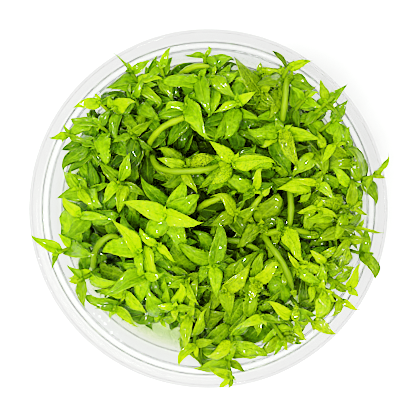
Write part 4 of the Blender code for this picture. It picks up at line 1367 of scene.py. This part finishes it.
def pale_floor():
    """A plain pale floor."""
    mesh = bpy.data.meshes.new("floor")
    corners = [(x * FLOOR_HALF_WIDTH, y * FLOOR_HALF_WIDTH, 0) for x, y in RING_SIGNS]
    mesh.from_pydata(corners, [], [(0, 1, 2, 3)])
    material, tree, surface = new_material("pale_floor")
    grain = add(tree, "TexNoise", Vector=in_place(tree), Scale=4.0).outputs["Fac"]
    matte = add(tree, "BsdfPrincipled", Base_Color=ramp(tree, grain, FLOOR_PALE), Roughness=0.9,
                Specular_IOR_Level=0.0)
    feed(tree, surface, matte.outputs[0])
    floor = shown("floor", mesh, material)
    floor.location.z = -FLOOR_SINK


def soft_light():
    """Large soft lamps overhead, small ones that only give glints, and a pale surround."""
    for name, place, size, power, glossy in LAMPS:
        lamp = bpy.data.lights.new(name, "AREA")
        lamp.shape, lamp.size, lamp.energy = "DISK", size, power
        made = bpy.data.objects.new(name, lamp)
        made.location = place
        made.visible_glossy = glossy
        made.visible_diffuse = made.visible_transmission = not glossy
        made.rotation_euler = (-Vector(place)).to_track_quat("-Z", "Y").to_euler()
        bpy.context.scene.collection.objects.link(made)

    world = bpy.data.worlds.new("surround")
    bpy.context.scene.world = world
    world.use_nodes = True
    tree = world.node_tree
    tree.nodes.clear()
    height = add(tree, "SeparateXYZ", Vector=add(tree, "TexCoord").outputs["Generated"]).outputs["Z"]
    world.cycles_visibility.glossy = False
    back = add(tree, "Background", Color=ramp(tree, height, SKY_PALE), Strength=SKY_STRENGTH)
    add(tree, "OutputWorld", Surface=back.outputs[0])


def crisp():
    """The photograph's contrast, and a little of its sharpening."""
    scene = bpy.context.scene
    view = scene.view_settings
    view.view_transform = "Standard"
    view.use_curve_mapping = True
    for dark, bright in TONE_CURVE:
        view.curve_mapping.curves[3].points.new(dark, bright)
    view.curve_mapping.update()
    scene.use_nodes = True
    tree = scene.node_tree
    tree.nodes.clear()
    taken = tree.nodes.new("CompositorNodeRLayers")
    sharper = tree.nodes.new("CompositorNodeFilter")
    sharper.filter_type = "SHARPEN_DIAMOND"
    sharper.inputs["Fac"].default_value = SHARPNESS
    tree.links.new(taken.outputs["Image"], sharper.inputs["Image"])
    tree.links.new(sharper.outputs["Image"], tree.nodes.new("CompositorNodeComposite").inputs["Image"])


def look_down():
    """The camera, straight over the cup as the photograph was taken."""
    scene = bpy.context.scene
    camera = bpy.data.cameras.new("camera")
    camera.sensor_width, camera.lens = SENSOR_WIDTH, LENS
    made = bpy.data.objects.new("camera", camera)
    made.location = CAMERA_PLACE
    scene.collection.objects.link(made)
    scene.camera = made
    scene.cycles.max_bounces = LIGHT_BOUNCES
    scene.cycles.transmission_bounces = LIGHT_BOUNCES
    scene.cycles.transparent_max_bounces = LIGHT_BOUNCES


def belongs(piece, slot, *replaced):
    """Hides the solids that a piece stands in for, if any, and lets it ride on the root; the slot is not used."""
    if replaced:
        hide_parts(*replaced)
    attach(piece, "root")


def main():
    """Makes every piece, the floor, the light and the camera."""
    mottle, veins = tissue_mottle(), blade_veins()
    green = leaf_blade(mottle, veins), stem_skin(mottle)
    plastic, jelly, wet = clear_plastic(), gel_jelly(), water()
    luck = random.Random(FILL_SEED)
    seats = []
    tall, arched, rim, low = grow_everything()
    for number, plant in enumerate(tall, 1):
        node = f"shoot_{number:02d}"
        name = "fine_" + node
        belongs(shown(name, joined(name, [plant], luck, seats), *green), "leaf_green", node)
    groups = {f"low_shoots_{part + 1}": low[part::4] for part in range(4)}
    for name, plants in {**groups, "arched_stems": arched, "rim_shoots": rim}.items():
        belongs(shown(name, joined(name, plants, luck, seats), *green), "leaf_green")
    for name, drops in (("leaf_beads", leaf_beads(seats, luck)), ("wall_drops", wall_drops())):
        belongs(shown(name, drops_mesh(name, drops), wet), "clear_plastic")
    cup = turned_form("moulded_cup", cup_profile(), CUP_ROUNDING, CUP_STEPS, plastic)
    belongs(cup, "clear_plastic", "cup")
    gel = turned_form("soft_gel", gel_profile(), GEL_ROUNDING, GEL_STEPS, jelly)
    belongs(gel, "nutrient_gel", "nutrient_gel")
    pale_floor()
    soft_light()
    look_down()
    crisp()


main()
